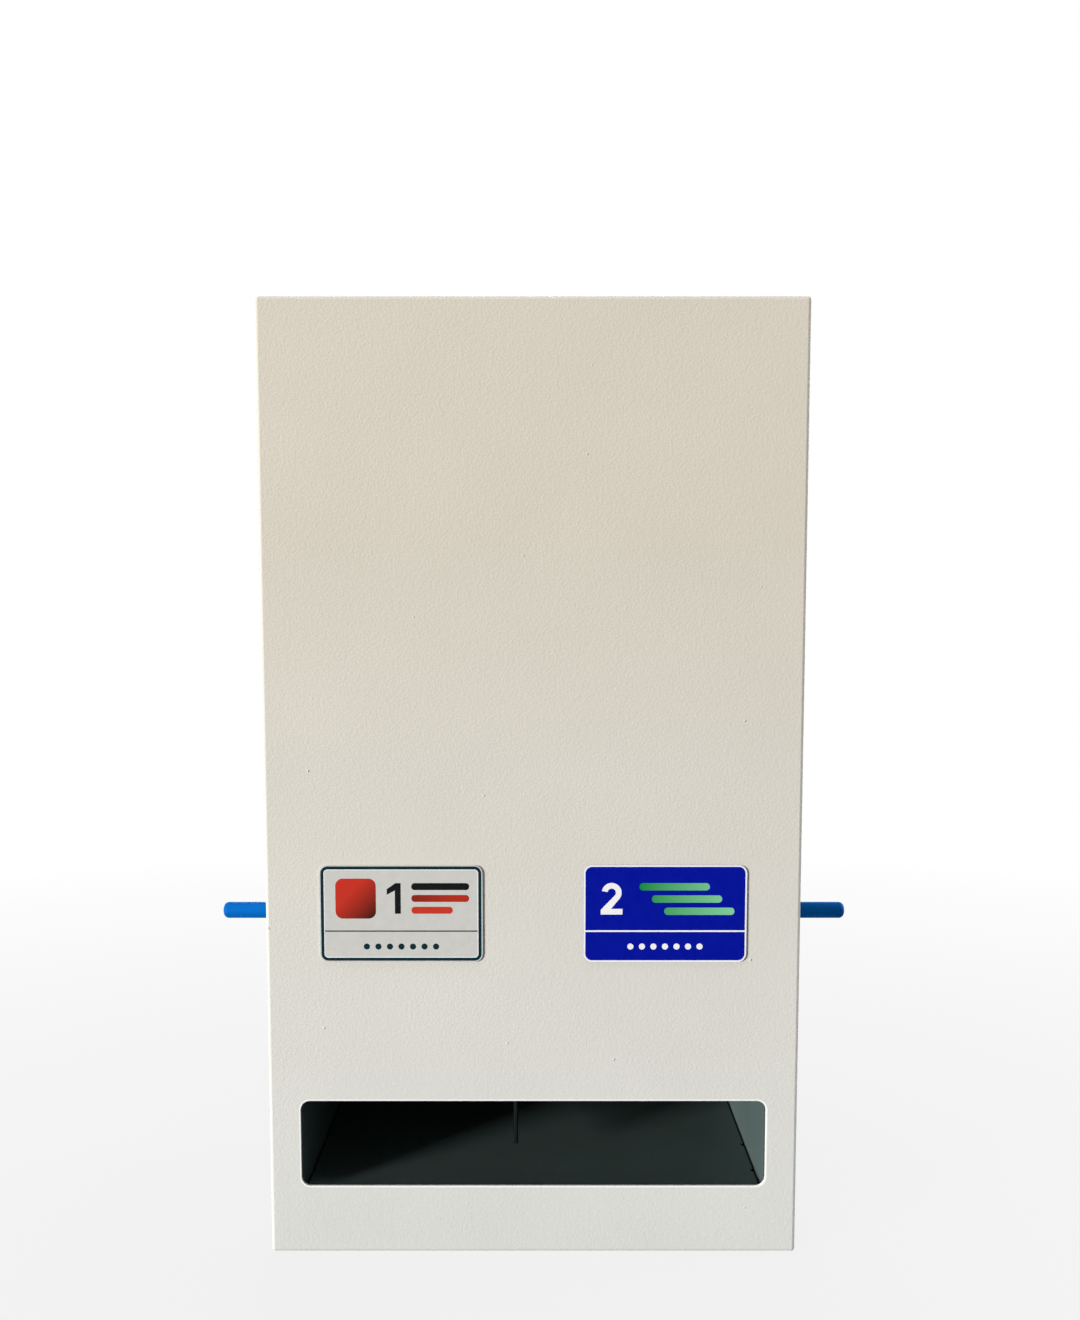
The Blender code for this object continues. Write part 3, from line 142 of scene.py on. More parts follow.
def calculate(tree, kind, operation, *values):
    """A Math or VectorMath node, fed with outputs or constants."""
    made = add(tree, "ShaderNode" + kind, operation=operation)
    for socket, value in zip(made.inputs, values):
        feed(tree, socket, value)
    is_vector = kind == "VectorMath" and operation not in ("LENGTH", "DOT_PRODUCT")
    return made.outputs["Vector" if is_vector else "Value"]


def coordinates(tree, stretch=(1, 1, 1)):
    place = add(tree, "ShaderNodeTexCoord")
    turn = add(tree, "ShaderNodeMapping")
    turn.inputs["Scale"].default_value = stretch
    tree.links.new(place.outputs["Object"], turn.inputs["Vector"])
    return turn.outputs["Vector"]


def coordinate(tree, axis):
    split = add(tree, "ShaderNodeSeparateXYZ")
    tree.links.new(coordinates(tree), split.inputs["Vector"])
    return split.outputs[axis]


def noise(tree, scale, detail=2.0, roughness=0.5, stretch=(1, 1, 1)):
    made = add(tree, "ShaderNodeTexNoise")
    made.inputs["Scale"].default_value = scale
    made.inputs["Detail"].default_value = detail
    made.inputs["Roughness"].default_value = roughness
    tree.links.new(coordinates(tree, stretch), made.inputs["Vector"])
    return made.outputs["Fac"]


def cells(tree, scale):
    made = add(tree, "ShaderNodeTexVoronoi")
    made.inputs["Scale"].default_value = scale
    tree.links.new(coordinates(tree), made.inputs["Vector"])
    return made


def spread(tree, source, low, high, start=0.3, end=0.7):
    """Turns a pattern that runs from start to end, as most of a noise does, into low to high."""
    made = add(tree, "ShaderNodeMapRange")
    for key, value in (("From Min", start), ("From Max", end), ("To Min", low), ("To Max", high)):
        made.inputs[key].default_value = value
    tree.links.new(source, made.inputs["Value"])
    return made.outputs["Result"]


def clouding(tree, scale, detail=3, roughness=0.5):
    return spread(tree, noise(tree, scale, detail, roughness), 0.0, 1.0)


def blend_colours(tree, amount, first, second, blend_type="MIX"):
    made = add(tree, "ShaderNodeMix", data_type="RGBA", blend_type=blend_type)
    for index, value in ((MIX_AMOUNT, amount), (MIX_FIRST, first), (MIX_SECOND, second)):
        feed(tree, made.inputs[index], value)
    return made.outputs[MIX_RESULT]


def vary_roughness(tree, shader, pattern, roughness, smoother, rougher):
    """Lets the roughness run from smoother below its mean to rougher above it."""
    value = spread(tree, pattern, roughness - smoother, roughness + rougher)
    tree.links.new(value, shader.inputs["Roughness"])


def bump(tree, shader, layers, edge=0.0):
    """Stacks (height, strength, distance) layers, over edges softened by edge metres."""
    normal = None
    if edge:
        soft = add(tree, "ShaderNodeBevel", samples=EDGE_SAMPLES)
        soft.inputs["Radius"].default_value = edge
        normal = soft.outputs["Normal"]
    for height, strength, distance in layers:
        made = add(tree, "ShaderNodeBump")
        made.inputs["Strength"].default_value = strength
        made.inputs["Distance"].default_value = distance
        tree.links.new(height, made.inputs["Height"])
        if normal:
            tree.links.new(normal, made.inputs["Normal"])
        normal = made.outputs["Normal"]
    tree.links.new(normal, shader.inputs["Normal"])


def edge_highlight_mask(tree):
    """1 on outer edges and corners, where the painted highlight goes, 0 on flats."""
    sharp = add(tree, "ShaderNodeBevel", samples=EDGE_SAMPLES)
    sharp.inputs["Radius"].default_value = EDGE_HIGHLIGHT_WIDTH
    plain = add(tree, "ShaderNodeNewGeometry")
    alike = calculate(
        tree, "VectorMath", "DOT_PRODUCT", sharp.outputs["Normal"], plain.outputs["Normal"],
    )
    return spread(tree, alike, 1.0, 0.0, start=0.90, end=0.995)


def mouth_rim(tree):
    """1 on the door's face in a narrow band round the mouth, where a pale painted highlight goes,
    0 elsewhere.
    """
    centre = (0, 0, (MOUTH_LOW + MOUTH_HIGH) / 2)
    straight = (MOUTH_HALF - MOUTH_CORNER, 0, (MOUTH_HIGH - MOUTH_LOW) / 2 - MOUTH_CORNER)
    place = calculate(tree, "VectorMath", "SUBTRACT", coordinates(tree), centre)
    place = calculate(tree, "VectorMath", "MULTIPLY", place, (1, 0, 1))
    place = calculate(tree, "VectorMath", "ABSOLUTE", place)
    place = calculate(tree, "VectorMath", "SUBTRACT", place, straight)
    place = calculate(tree, "VectorMath", "MAXIMUM", place, (0, 0, 0))
    away = calculate(tree, "VectorMath", "LENGTH", place)
    edge = MOUTH_CORNER + MOUTH_HIGHLIGHT_WIDTH
    return spread(tree, away, 1.0, 0.0, edge - MOUTH_HIGHLIGHT_FADE, edge)


def specks(tree, spacing, radius):
    """1 in small round spots that lie about spacing apart, 0 between them."""
    core = SPECK_CORE * radius / spacing
    distance = cells(tree, 1 / spacing).outputs["Distance"]
    return spread(tree, distance, 1.0, 0.0, core, radius / spacing)


def dust_spots(tree):
    return specks(tree, DUST_SPACING, DUST_RADIUS)


def painted_seam_shade(tree):
    """1 in the painted shade of the seams at the two ends of the chute floor, 0 between them."""
    away = calculate(tree, "Math", "ABSOLUTE", coordinate(tree, "X"))
    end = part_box("chute_floor")[1].x
    return spread(tree, away, 0.0, 1.0, end - SEAM_SHADE_START, end - SEAM_SHADE_FULL)


def powder_paint(
    name, colour, roughness, peel, lighter, gloss, edge=0.0006, foot=None, rim=None, patches=(),
):
    """Baked powder coat: orange peel, a few nibs, fine grain and very slight clouding. Its colour
    turns paler and cooler towards the floor as painted floor-bounce light, and near white on sharp
    edges as a painted highlight. Each patch is a mask and the colour that it brings."""
    made, tree, shader = new_material(name)
    base = colour
    # Painted floor-bounce light: the colour turns paler and cooler towards the floor
    if foot:
        rise = spread(tree, coordinate(tree, "Z"), 1.0, 0.0, FLOOR_BOUNCE_LOW, FLOOR_BOUNCE_HIGH)
        base = blend_colours(tree, rise, colour, foot)
    shade = blend_colours(tree, clouding(tree, 14), (2 - lighter,) * 3, (lighter,) * 3)
    base = blend_colours(tree, 1.0, base, shade, "MULTIPLY")
    # Painted highlight: sharp edges turn to the near-white highlight colour
    if rim:
        base = blend_colours(tree, edge_highlight_mask(tree), base, rim)
    for mask, brings in patches:
        base = blend_colours(tree, mask(tree), base, brings)
    tree.links.new(base, shader.inputs["Base Color"])
    grain = noise(tree, 520, detail=3, roughness=0.55)
    vary_roughness(tree, shader, grain, roughness, smoother=0.05, rougher=0.06)
    shader.inputs["Specular IOR Level"].default_value = gloss
    layers = [
        (noise(tree, scale, roughness=fineness), peel * share, height)
        for scale, fineness, share, height in PEEL_LAYERS
    ]
    layers.append((specks(tree, NIB_SPACING, NIB_RADIUS), NIB_STRENGTH, NIB_HEIGHT))
    bump(tree, shader, layers, edge)
    return made


def plated_steel(name, colour, roughness, streak=(1, 1, 1), spangle=0.0, edge=0.0003):
    """Zinc plate or bright steel: drawn streaks and clouding."""
    made, tree, shader = new_material(name)
    pale, deep, crystal = (scaled(colour, share) for share in (1.10, 0.84, 0.72))
    base = blend_colours(tree, clouding(tree, 60, detail=4, roughness=0.6), deep, pale)
    if spangle:
        split = add(tree, "ShaderNodeSeparateColor")
        tree.links.new(cells(tree, spangle).outputs["Color"], split.inputs["Color"])
        amount = spread(tree, split.outputs["Red"], 0.0, 0.45, start=0.0, end=1.0)
        base = blend_colours(tree, amount, base, crystal)
    tree.links.new(base, shader.inputs["Base Color"])
    shader.inputs["Metallic"].default_value = 1.0
    lines = noise(tree, 900, detail=3, roughness=0.6, stretch=streak)
    vary_roughness(tree, shader, lines, roughness, smoother=0.06, rougher=0.10)
    bump(tree, shader, [(lines, 0.10, 0.00004)], edge)
    return made


def moulded(name, colour, roughness, strength=0.12, gloss=0.5):
    """Moulded or dipped plastic and rubber with a fine skin."""
    made, tree, shader = new_material(name)
    lighter, edge = 1.06, 0.0003
    pale, deep = scaled(colour, lighter), scaled(colour, 2 - lighter)
    tree.links.new(
        blend_colours(tree, clouding(tree, 45), deep, pale), shader.inputs["Base Color"],
    )
    skin = noise(tree, 1100)
    vary_roughness(tree, shader, skin, roughness, smoother=0.05, rougher=0.07)
    shader.inputs["Specular IOR Level"].default_value = gloss
    bump(tree, shader, [(skin, strength, 0.00006)], edge)
    return made


def print_ink(name, colour):
    """Screen-printed ink with a trace of mesh and tone."""
    made, tree, shader = new_material(name)
    shader.inputs["Specular IOR Level"].default_value = 0.06
    pale = tuple(min(1, c * 1.06 + 0.001) for c in colour)
    tree.links.new(
        blend_colours(tree, clouding(tree, 260, detail=2), colour, pale),
        shader.inputs["Base Color"],
    )
    vary_roughness(tree, shader, noise(tree, 1800), roughness=0.42, smoother=0.05, rougher=0.06)
    bump(tree, shader, [(noise(tree, 2400), 0.05, 0.00002)])
    return made


def shaded_ink(name, first, second, centre, reach, axis=(1, 0, 0)):
    """Ink that turns from one colour to another along an axis through a centre."""
    made = print_ink(name, first)
    tree = made.node_tree
    shift = calculate(tree, "VectorMath", "SUBTRACT", coordinates(tree), centre)
    along = calculate(tree, "VectorMath", "DOT_PRODUCT", shift, axis)
    amount = spread(tree, along, 0.0, 1.0, -reach, reach)
    tree.links.new(
        blend_colours(tree, amount, first, second),
        tree.nodes["Principled BSDF"].inputs["Base Color"],
    )
    return made


# Almond paint. The paler, cooler foot colour is painted floor-bounce light; the near-white edge
# colour is a painted highlight on sharp edges and round the mouth
ALMOND = dict(
    colour=linear(214, 207, 193), foot=linear(221, 221, 217), rim=linear(252, 251, 248),
    roughness=0.58, peel=0.7, gloss=0.2, lighter=1.018,
)
PAINT = powder_paint("almond_powder_paint", **ALMOND)
# The door's paint also has a pale painted highlight in a band round the mouth
DOOR_PAINT = powder_paint(
    "almond_powder_paint_door", patches=[(mouth_rim, ALMOND["rim"])], **ALMOND,
)
DARK_COAT = dict(roughness=0.5, peel=0.35, lighter=1.10, edge=0.0004, gloss=0.12)
CHARCOAL = linear(81, 96, 94)
DUST = (dust_spots, linear(176, 180, 178))
# Painted shade: a near-black band in the seams at the two ends of the chute floor
SEAM_SHADE = (painted_seam_shade, linear(8, 10, 10))
DARK = powder_paint("charcoal_powder_paint", CHARCOAL, patches=[DUST], **DARK_COAT)
# The chute's paint carries the dust and the painted seam shade
CHUTE = powder_paint("charcoal_powder_paint_chute", CHARCOAL, patches=[DUST, SEAM_SHADE], **DARK_COAT)
DEEP = powder_paint("black_powder_paint", linear(14, 17, 17), **DARK_COAT)
ZINC = plated_steel("zinc_plate", linear(158, 162, 167), 0.38, spangle=260)
BRIGHT = plated_steel("bright_steel", linear(158, 157, 154), 0.27, streak=(0.12, 1, 1))
CHROME = plated_steel("lock_chrome", linear(150, 152, 156), 0.16, edge=0.00015)
CORE = plated_steel("lock_core", linear(166, 158, 138), 0.26)
SPRING = plated_steel("spring_wire", linear(150, 150, 154), 0.28, streak=(1, 1, 0.2), edge=0.0)
VINYL = moulded("blue_vinyl", linear(0, 101, 188), 0.55, strength=0.10, gloss=0.05)
NYLON = moulded("nylon", linear(228, 225, 214), 0.45)
RUBBER = moulded("black_rubber", linear(30, 30, 31), 0.72, strength=0.3)
DRUM = moulded("grey_plastic", linear(134, 139, 142), 0.44)
LABEL_WHITE = print_ink("label_white", linear(202, 201, 197))
LABEL_BLUE = print_ink("label_blue", linear(1, 17, 149))
TEAL = print_ink("ink_teal", linear(8, 42, 50))
BLACK = print_ink("ink_black", linear(14, 16, 18))
WHITE = print_ink("ink_white", linear(240, 240, 242))
RED = print_ink("ink_red", linear(196, 56, 40))

LOOKS = {
    PAINT: ["cabinet_shell", "door_stiffener_upper", "door_stiffener_lower", "lock_keeper"],
    DOOR_PAINT: ["door_panel"],
    DARK: ["left_side_plate", "right_side_plate", "left_napkin_lip", "right_napkin_lip"],
    CHUTE: ["chute_floor"],
    DEEP: ["column_divider"],
    ZINC: [
        "tampon_front_guide", "tampon_rear_guide", "napkin_rotor", "left_arm", "right_arm",
        "lock_cam",
    ],
    BRIGHT: [
        "hinge_leaf_cabinet", "hinge_leaf_door", "hinge_pin", "left_shaft", "right_shaft",
        "left_rod", "right_rod", "left_spring_post", "right_spring_post", "left_set_screw",
        "right_set_screw", "left_rotor_screw", "right_rotor_screw", "left_shaft_clip",
        "right_shaft_clip", "lock_nut", "cam_screw",
    ],
    CHROME: ["lock_body"],
    CORE: ["lock_plug"],
    SPRING: ["left_return_spring", "right_return_spring"],
    VINYL: ["left_grip", "right_grip"],
    NYLON: ["left_shaft_bush", "right_shaft_bush", "centre_bearing_block"],
    RUBBER: ["left_rest_bumper", "right_rest_bumper", "door_pad_upper", "door_pad_lower"],
    DRUM: ["tampon_rotor"],
    LABEL_WHITE: ["left_label"],
    LABEL_BLUE: ["right_label"],
}
for material, names in LOOKS.items():
    for name in names:
        mesh = nodes[name].data
        mesh.materials.clear()
        mesh.materials.append(material)
        for face in mesh.polygons:
            face.material_index = 0


# Shapes
SHARP = math.radians(35)
CORNER_STEPS = 10


def new_object(name, data):
    made = bpy.data.objects.new(name, data)
    bpy.context.scene.collection.objects.link(made)
    return made


def shade_smoothly(mesh):
    mesh.shade_smooth()
    mesh.set_sharp_from_angle(angle=SHARP)


def from_bmesh(name, shape, material, smooth=False):
    bmesh.ops.recalc_face_normals(shape, faces=shape.faces)
    mesh = bpy.data.meshes.new(name)
    shape.to_mesh(mesh)
    shape.free()
    if smooth:
        shade_smoothly(mesh)
    mesh.materials.append(material)
    return new_object(name, mesh)


def centre_yz(box):
    low, high = box
    return (low.y + high.y) / 2, (low.z + high.z) / 2


def arc(centre, radius, start, end, steps):
    """Points on an arc from one angle to another, with both ends."""
    angles = [start + (end - start) * k / steps for k in range(steps + 1)]
    return [(centre[0] + radius * math.cos(a), centre[1] + radius * math.sin(a)) for a in angles]


def circle(centre, radius, count):
    return arc(centre, radius, 0, 2 * math.pi, count)[:-1]


def block(left, right, low, high):
    return [(left, low), (right, low), (right, high), (left, high)]


def rounded(left, right, low, high, radius):
    """A rectangle with round corners."""
    corners = (
        ((right - radius, low + radius), -QUARTER), ((right - radius, high - radius), 0),
        ((left + radius, high - radius), QUARTER), ((left + radius, low + radius), math.pi),
    )
    points = []
    for centre, start in corners:
        points += arc(centre, radius, start, start + QUARTER, CORNER_STEPS)
    return points


def rounding(station, radius, along, across, steps):
    """Profile points that round the corner at (station, radius), from along before it to across
    below it."""
    angles = [QUARTER * k / steps for k in range(steps + 1)]
    return [
        (station - along * (1 - math.sin(a)), radius - across * (1 - math.cos(a))) for a in angles
    ]


def band(shape, first, second):
    """Four-sided faces between two loops of as many vertices."""
    for k in range(len(first)):
        n = (k + 1) % len(first)
        shape.faces.new((first[k], first[n], second[n], second[k]))


def plate(outline, low, high, hole=None, axis="Y"):
    """A flat piece square to an axis, with an optional hole of as many points."""
    shape = bmesh.new()
    rings = []
    for loop in [outline, hole] if hole else [outline]:
        rings.append([
            [shape.verts.new((u, level, v) if axis == "Y" else (level, u, v)) for u, v in loop]
            for level in (low, high)
        ])
    for near, far in rings:
        band(shape, near, far)
    for level in (0, 1):
        if hole:
            band(shape, rings[0][level], rings[1][level])
        else:
            shape.faces.new(rings[0][level])
    return shape


def turned(profile, centre, steps=48, ring=False, pitch=0.0, depth=0.0):
    """A profile of (station, radius) turned about a line parallel to X through (y, z), closed on
    itself as a ring or at both ends by a face. A profile point may name a third value, its share
    of a screw thread of the given pitch and depth."""
    shape = bmesh.new()
    rows = []
    for station, radius, *thread in profile:
        row = []
        for k in range(steps):
            angle = 2 * math.pi * k / steps
            size = radius
            if thread:
                phase = (station / pitch - k / steps) % 1
                size -= depth * thread[0] * abs(2 * phase - 1)
            row.append(shape.verts.new((
                station, centre[0] + size * math.cos(angle), centre[1] + size * math.sin(angle),
            )))
        rows.append(row)
    for first, second in zip(rows, rows[1:]):
        band(shape, first, second)
    if ring:
        band(shape, rows[-1], rows[0])
    else:
        shape.faces.new(rows[0])
        shape.faces.new(rows[-1])
    return shape


def carve(target, shape, operation="DIFFERENCE"):
    """Cuts a piece with a shape, or keeps what both hold."""
    material = target.data.materials[0]
    tool = from_bmesh("cutter", shape, material)
    change = target.modifiers.new("carve", "BOOLEAN")
    change.operation = operation
    change.solver = "EXACT"
    change.object = tool
    graph = bpy.context.evaluated_depsgraph_get()
    mesh = bpy.data.meshes.new_from_object(target.evaluated_get(graph))
    target.modifiers.clear()
    mesh.materials.clear()
    mesh.materials.append(material)
    spare = target.data
    target.data = mesh
    bpy.data.meshes.remove(spare)
    bpy.data.objects.remove(tool)
    mesh.name = target.name
    shade_smoothly(mesh)


# Lever grips: dipped sleeves with a round end
GRIP_ROUND = 0.0026
GRIP_LIP = ((0.0, 0.0008), (0.0002, 0.0002), (0.0007, 0.0))

for side, sign in SIDES.items():
    low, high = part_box(side + "_grip")
    inner, end = (low.x, high.x) if sign > 0 else (high.x, low.x)
    radius = (high.z - low.z) / 2
    profile = [(inner + sign * along, radius - drop) for along, drop in GRIP_LIP]
    profile += rounding(end, radius, sign * GRIP_ROUND, GRIP_ROUND, 8)
    shape = turned(profile, centre_yz((low, high)))
    grip = from_bmesh(side + "_grip_sleeve", shape, VINYL, smooth=True)
    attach(grip, side + "_lever")
    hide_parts(side + "_grip")


# Cam lock: threaded housing with a dished head, hexagon nut, core with a warded keyway, screw
LOCK = centre_yz(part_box("lock_body"))
BORE = 0.0059
BARREL = 0.0094
PITCH = 0.001
PITCH_STEPS = 8
THREAD = 0.0005
THREAD_END = 0.0008
HEAD = 0.0110
HEAD_HEIGHT = 0.0022
HEAD_ROUND = 0.0009
BREAK = 0.0002
DISH = ((0.0, 0.0078), (0.00012, 0.0076), (0.00045, 0.0064), (0.0005, 0.0062), (0.0007, BORE))

low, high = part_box("lock_body")
under = high.x - HEAD_HEIGHT
profile = [(low.x, BORE), (low.x, BARREL - THREAD - BREAK)]
count = int(round((under - THREAD_END - low.x) / PITCH * PITCH_STEPS))
for k in range(1, count + 1):
    fade = min(1.0, (count - k) / PITCH_STEPS)
    profile.append((low.x + PITCH * k / PITCH_STEPS, BARREL, fade))
profile += [(under, BARREL), (under, HEAD - BREAK), (under + BREAK, HEAD)]
profile += rounding(high.x, HEAD, HEAD_ROUND, HEAD_ROUND, 6)
profile += [(high.x - depth, radius) for depth, radius in DISH]
shape = turned(profile, LOCK, 64, ring=True, pitch=PITCH, depth=THREAD)
housing = from_bmesh("lock_housing", shape, CHROME, smooth=True)
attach(housing, "cabinet")
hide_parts("lock_body")

NUT_BORE = 0.0097
NUT_CHAMFER = ((-0.0001, 0.88), (0.0, 0.89), (0.0006, 1.01))
PAST = 0.001

low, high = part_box("lock_nut")
wide = (high.y - low.y) / 2
nut = from_bmesh(
    "lock_hexagon_nut", plate(circle(LOCK, wide, 6), low.x, high.x, axis="X"), BRIGHT,
)
chamfer = [(low.x + inward, wide * share) for inward, share in NUT_CHAMFER]
chamfer += [(high.x - inward, wide * share) for inward, share in reversed(NUT_CHAMFER)]
carve(nut, turned(chamfer, LOCK, 72), "INTERSECT")
carve(nut, turned([(low.x - PAST, NUT_BORE), (high.x + PAST, NUT_BORE)], LOCK, 56))
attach(nut, "cabinet")
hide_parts("lock_nut")

CORE_NECK = 0.0038
CORE_RADIUS = 0.0056
CORE_BREAK = 0.0003
KEYWAY_DEPTH = 0.007
KEYWAY = (
    (-3.8, 0.8), (-3.8, -0.8), (-0.4, -0.8), (-0.4, -0.3), (1.8, -0.3), (1.8, -0.8), (3.8, -0.8),
    (3.8, 0.8), (0.2, 0.8), (0.2, 0.3), (-1.4, 0.3), (-1.4, 0.8),
)

low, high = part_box("lock_plug")
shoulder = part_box("lock_cam")[1].x + 0.0003
core = from_bmesh("lock_core_plug", turned([
    (low.x, CORE_NECK), (shoulder, CORE_NECK), (shoulder, CORE_RADIUS),
    (high.x - CORE_BREAK, CORE_RADIUS), (high.x, CORE_RADIUS - CORE_BREAK),
], LOCK, 64), CORE, smooth=True)
keyway = [(LOCK[0] + u * MM, LOCK[1] + v * MM) for u, v in KEYWAY]
carve(core, plate(keyway, high.x - KEYWAY_DEPTH, high.x + PAST, axis="X"))
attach(core, "lock")
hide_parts("lock_plug")

PAN_HEIGHT = 0.0011
PAN_DROP = 0.0021
PAN_FLAT = 0.0023
SLOT_HALF = 0.0006
SLOT_DEPTH = 0.0009

low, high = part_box("cam_screw")
wide = (high.y - low.y) / 2
profile = [(high.x, wide - BREAK), (high.x - BREAK, wide)]
profile += rounding(low.x, wide, -PAN_HEIGHT, PAN_DROP, 8)[:-1]
profile.append((low.x, wide - PAN_FLAT))
screw = from_bmesh("cam_pan_screw", turned(profile, LOCK), BRIGHT, smooth=True)
slot = block(
    LOCK[0] - wide * 1.2, LOCK[0] + wide * 1.2, LOCK[1] - SLOT_HALF, LOCK[1] + SLOT_HALF,
)
carve(screw, plate(slot, low.x - PAST, low.x + SLOT_DEPTH, axis="X"))
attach(screw, "lock")
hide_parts("cam_screw")


# Printed plates on the door: a border, a rule, a plain number, three bars and a row of dots each
INK = 0.00002
PLATE_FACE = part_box("left_label")[0].y
PLATE_CORNER = 0.004
RULE_SHARE = 0.32
KEYLINE = 0.0004
DOTS = 7
DOT_STEP = 0.0056
DOT_RADIUS = 0.0015
DOT_SIDES = 28


def print_on(name, outline, material, hole=None):
    made = from_bmesh(name, plate(outline, PLATE_FACE - INK, PLATE_FACE, hole), material)
    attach(made, "door")


def placed(outline, x, z, size):
    return [(x + u * size, z + v * size) for u, v in outline]


def digit_one():
    """A plain 1, one unit high, with its foot at zero and a short flag."""
    stem = 0.19
    return [
        (stem, 0.0), (stem, 1.0), (0.02, 1.0), (-0.26, 0.80), (-0.26, 0.62), (0.0, 0.76),
        (0.0, 0.0),
    ]


def digit_two():
    """A plain 2, one unit high: a bowl, a straight diagonal and a foot."""
    stroke, radius, centre, steps = 0.18, 0.22, (0.0, 0.69), 28
    start, end = math.radians(170), math.radians(-38)
    outer = arc(centre, radius + stroke / 2, start, end, steps)
    inner = arc(centre, radius - stroke / 2, end, start, steps)
    foot = [(-0.02, stroke), (0.34, stroke), (0.34, 0.0), (-0.34, 0.0), (-0.34, 0.15)]
    return outer + foot + inner


def label_frame(side, border, inset, width, line, keyline=None):
    """Border and rule of a plate, with a thin keyline inside the border on request. Returns the
    plate's places: its left side, middle and foot, its rule, and halfway from there to its top."""
    low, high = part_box(side + "_label")

    def inside(by):
        return rounded(low.x + by, high.x - by, low.z + by, high.z - by, PLATE_CORNER - by)

    edge = inset + width
    print_on(side + "_label_border", inside(inset), border, hole=inside(edge))
    if keyline:
        print_on(side + "_label_keyline", inside(edge), keyline, hole=inside(edge + KEYLINE))
        edge += KEYLINE
    rule = low.z + (high.z - low.z) * RULE_SHARE
    strip = block(low.x + edge, high.x - edge, rule - line / 2, rule + line / 2)
    print_on(side + "_label_rule", strip, border)
    return dict(
        side=side, left=low.x, middle=(low.x + high.x) / 2, foot=low.z, rule=rule,
        upper=(rule + high.z) / 2,
    )


def label_bars(at, rise, step, height, corner, bars):
    """Bars below each other on a plate, each with its start, length and ink."""
    for k, (begin, length, ink) in enumerate(bars):
        start, foot = at["left"] + begin, at["upper"] + rise - k * step
        outline = rounded(start, start + length, foot, foot + height, corner)
        print_on("%s_label_bar_%d" % (at["side"], k + 1), outline, ink)


def label_dots(at, ink):
    for k in range(DOTS):
        centre = (at["middle"] + (k - DOTS // 2) * DOT_STEP, (at["foot"] + at["rule"]) / 2)
        outline = circle(centre, DOT_RADIUS, DOT_SIDES)
        print_on("%s_label_dot_%d" % (at["side"], k + 1), outline, ink)


at = label_frame("left", TEAL, inset=0.0006, width=0.0015, line=0.0006, keyline=WHITE)
SQUARE_HALF = 0.0098
SQUARE_CORNER = 0.0036
square_x, square_z = at["left"] + 0.0175, at["upper"] - 0.0002
GLOW = shaded_ink(
    "ink_red_brown", linear(196, 52, 38), linear(58, 26, 20),
    centre=(square_x + 0.003, 0, square_z - 0.003), reach=0.008, axis=(0.7, 0, -0.7),
)
BROWN = shaded_ink(
    "ink_brown_red", linear(66, 28, 22), linear(176, 48, 34),
    centre=(at["middle"] + 0.006, 0, at["rule"]), reach=0.02,
)
print_on("left_label_square", rounded(
    square_x - SQUARE_HALF, square_x + SQUARE_HALF, square_z - SQUARE_HALF,
    square_z + SQUARE_HALF, SQUARE_CORNER,
), GLOW)
number = placed(digit_one(), x=at["left"] + 0.0365, z=at["upper"] - 0.0076, size=0.0150)
print_on("left_label_number", number, BLACK)
label_bars(at, rise=0.0040, step=0.0058, height=0.0034, corner=0.0016, bars=(
    (0.0445, 0.028, BLACK), (0.0445, 0.028, BROWN), (0.0445, 0.020, RED),
))
label_dots(at, TEAL)

at = label_frame("right", WHITE, inset=0.0, width=0.0008, line=0.0008)
GREEN = shaded_ink(
    "ink_green", linear(0, 132, 52), linear(132, 208, 160),
    centre=(at["middle"] + 0.010, 0, at["upper"]), reach=0.024,
)
number = placed(digit_two(), x=at["left"] + 0.0135, z=at["upper"] - 0.0080, size=0.0155)
print_on("right_label_number", number, WHITE)
label_bars(at, rise=0.0038, step=0.0060, height=0.0036, corner=0.0017, bars=(
    (0.0270, 0.034, GREEN), (0.0330, 0.034, GREEN), (0.0390, 0.034, GREEN),
))
label_dots(at, WHITE)


# Return springs: the CAD's own turns and hooks, drawn finer
WIRE = 0.00045
WIRE_ROUNDNESS = 3
TURNS = 11
TURN_STEPS = 24
SPRING_SPAN = 0.045
PIN_RADIUS = 0.0015
PIN_GAP = 0.0003
HOOK_SWEEP = math.radians(290)
HOOK_NECK = 0.0045


def spring_points(side):
    """Lower hook, close turns and upper hook, on the post and pin that hold them, and the middles
    of that post and pin."""
    post_low, post_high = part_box(side + "_spring_post")
    low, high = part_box(side + "_return_spring")
    x, y = (low.x + high.x) / 2, (low.y + high.y) / 2
    coil = (high.y - low.y) / 2 - WIRE
    hook = PIN_RADIUS + PIN_GAP + WIRE
    bottom = (post_low.z + post_high.z) / 2
    top = bottom + SPRING_SPAN
    first, last = bottom + hook + HOOK_NECK, top - hook - HOOK_NECK
    lower = arc((y, bottom), hook, QUARTER - HOOK_SWEEP, QUARTER, TURN_STEPS)
    upper = arc((y, top), hook, -QUARTER, -QUARTER - HOOK_SWEEP, TURN_STEPS)
    count = TURNS * TURN_STEPS
    turns = []
    for k in range(count + 1):
        angle = 2 * math.pi * k / TURN_STEPS
        z = first + (last - first) * k / count
        turns.append((x + coil * math.sin(angle), y + coil * math.cos(angle), z))
    points = [(x, *place) for place in lower] + turns + [(x, *place) for place in upper]
    return points, Vector((x, y, bottom)), Vector((x, y, top))


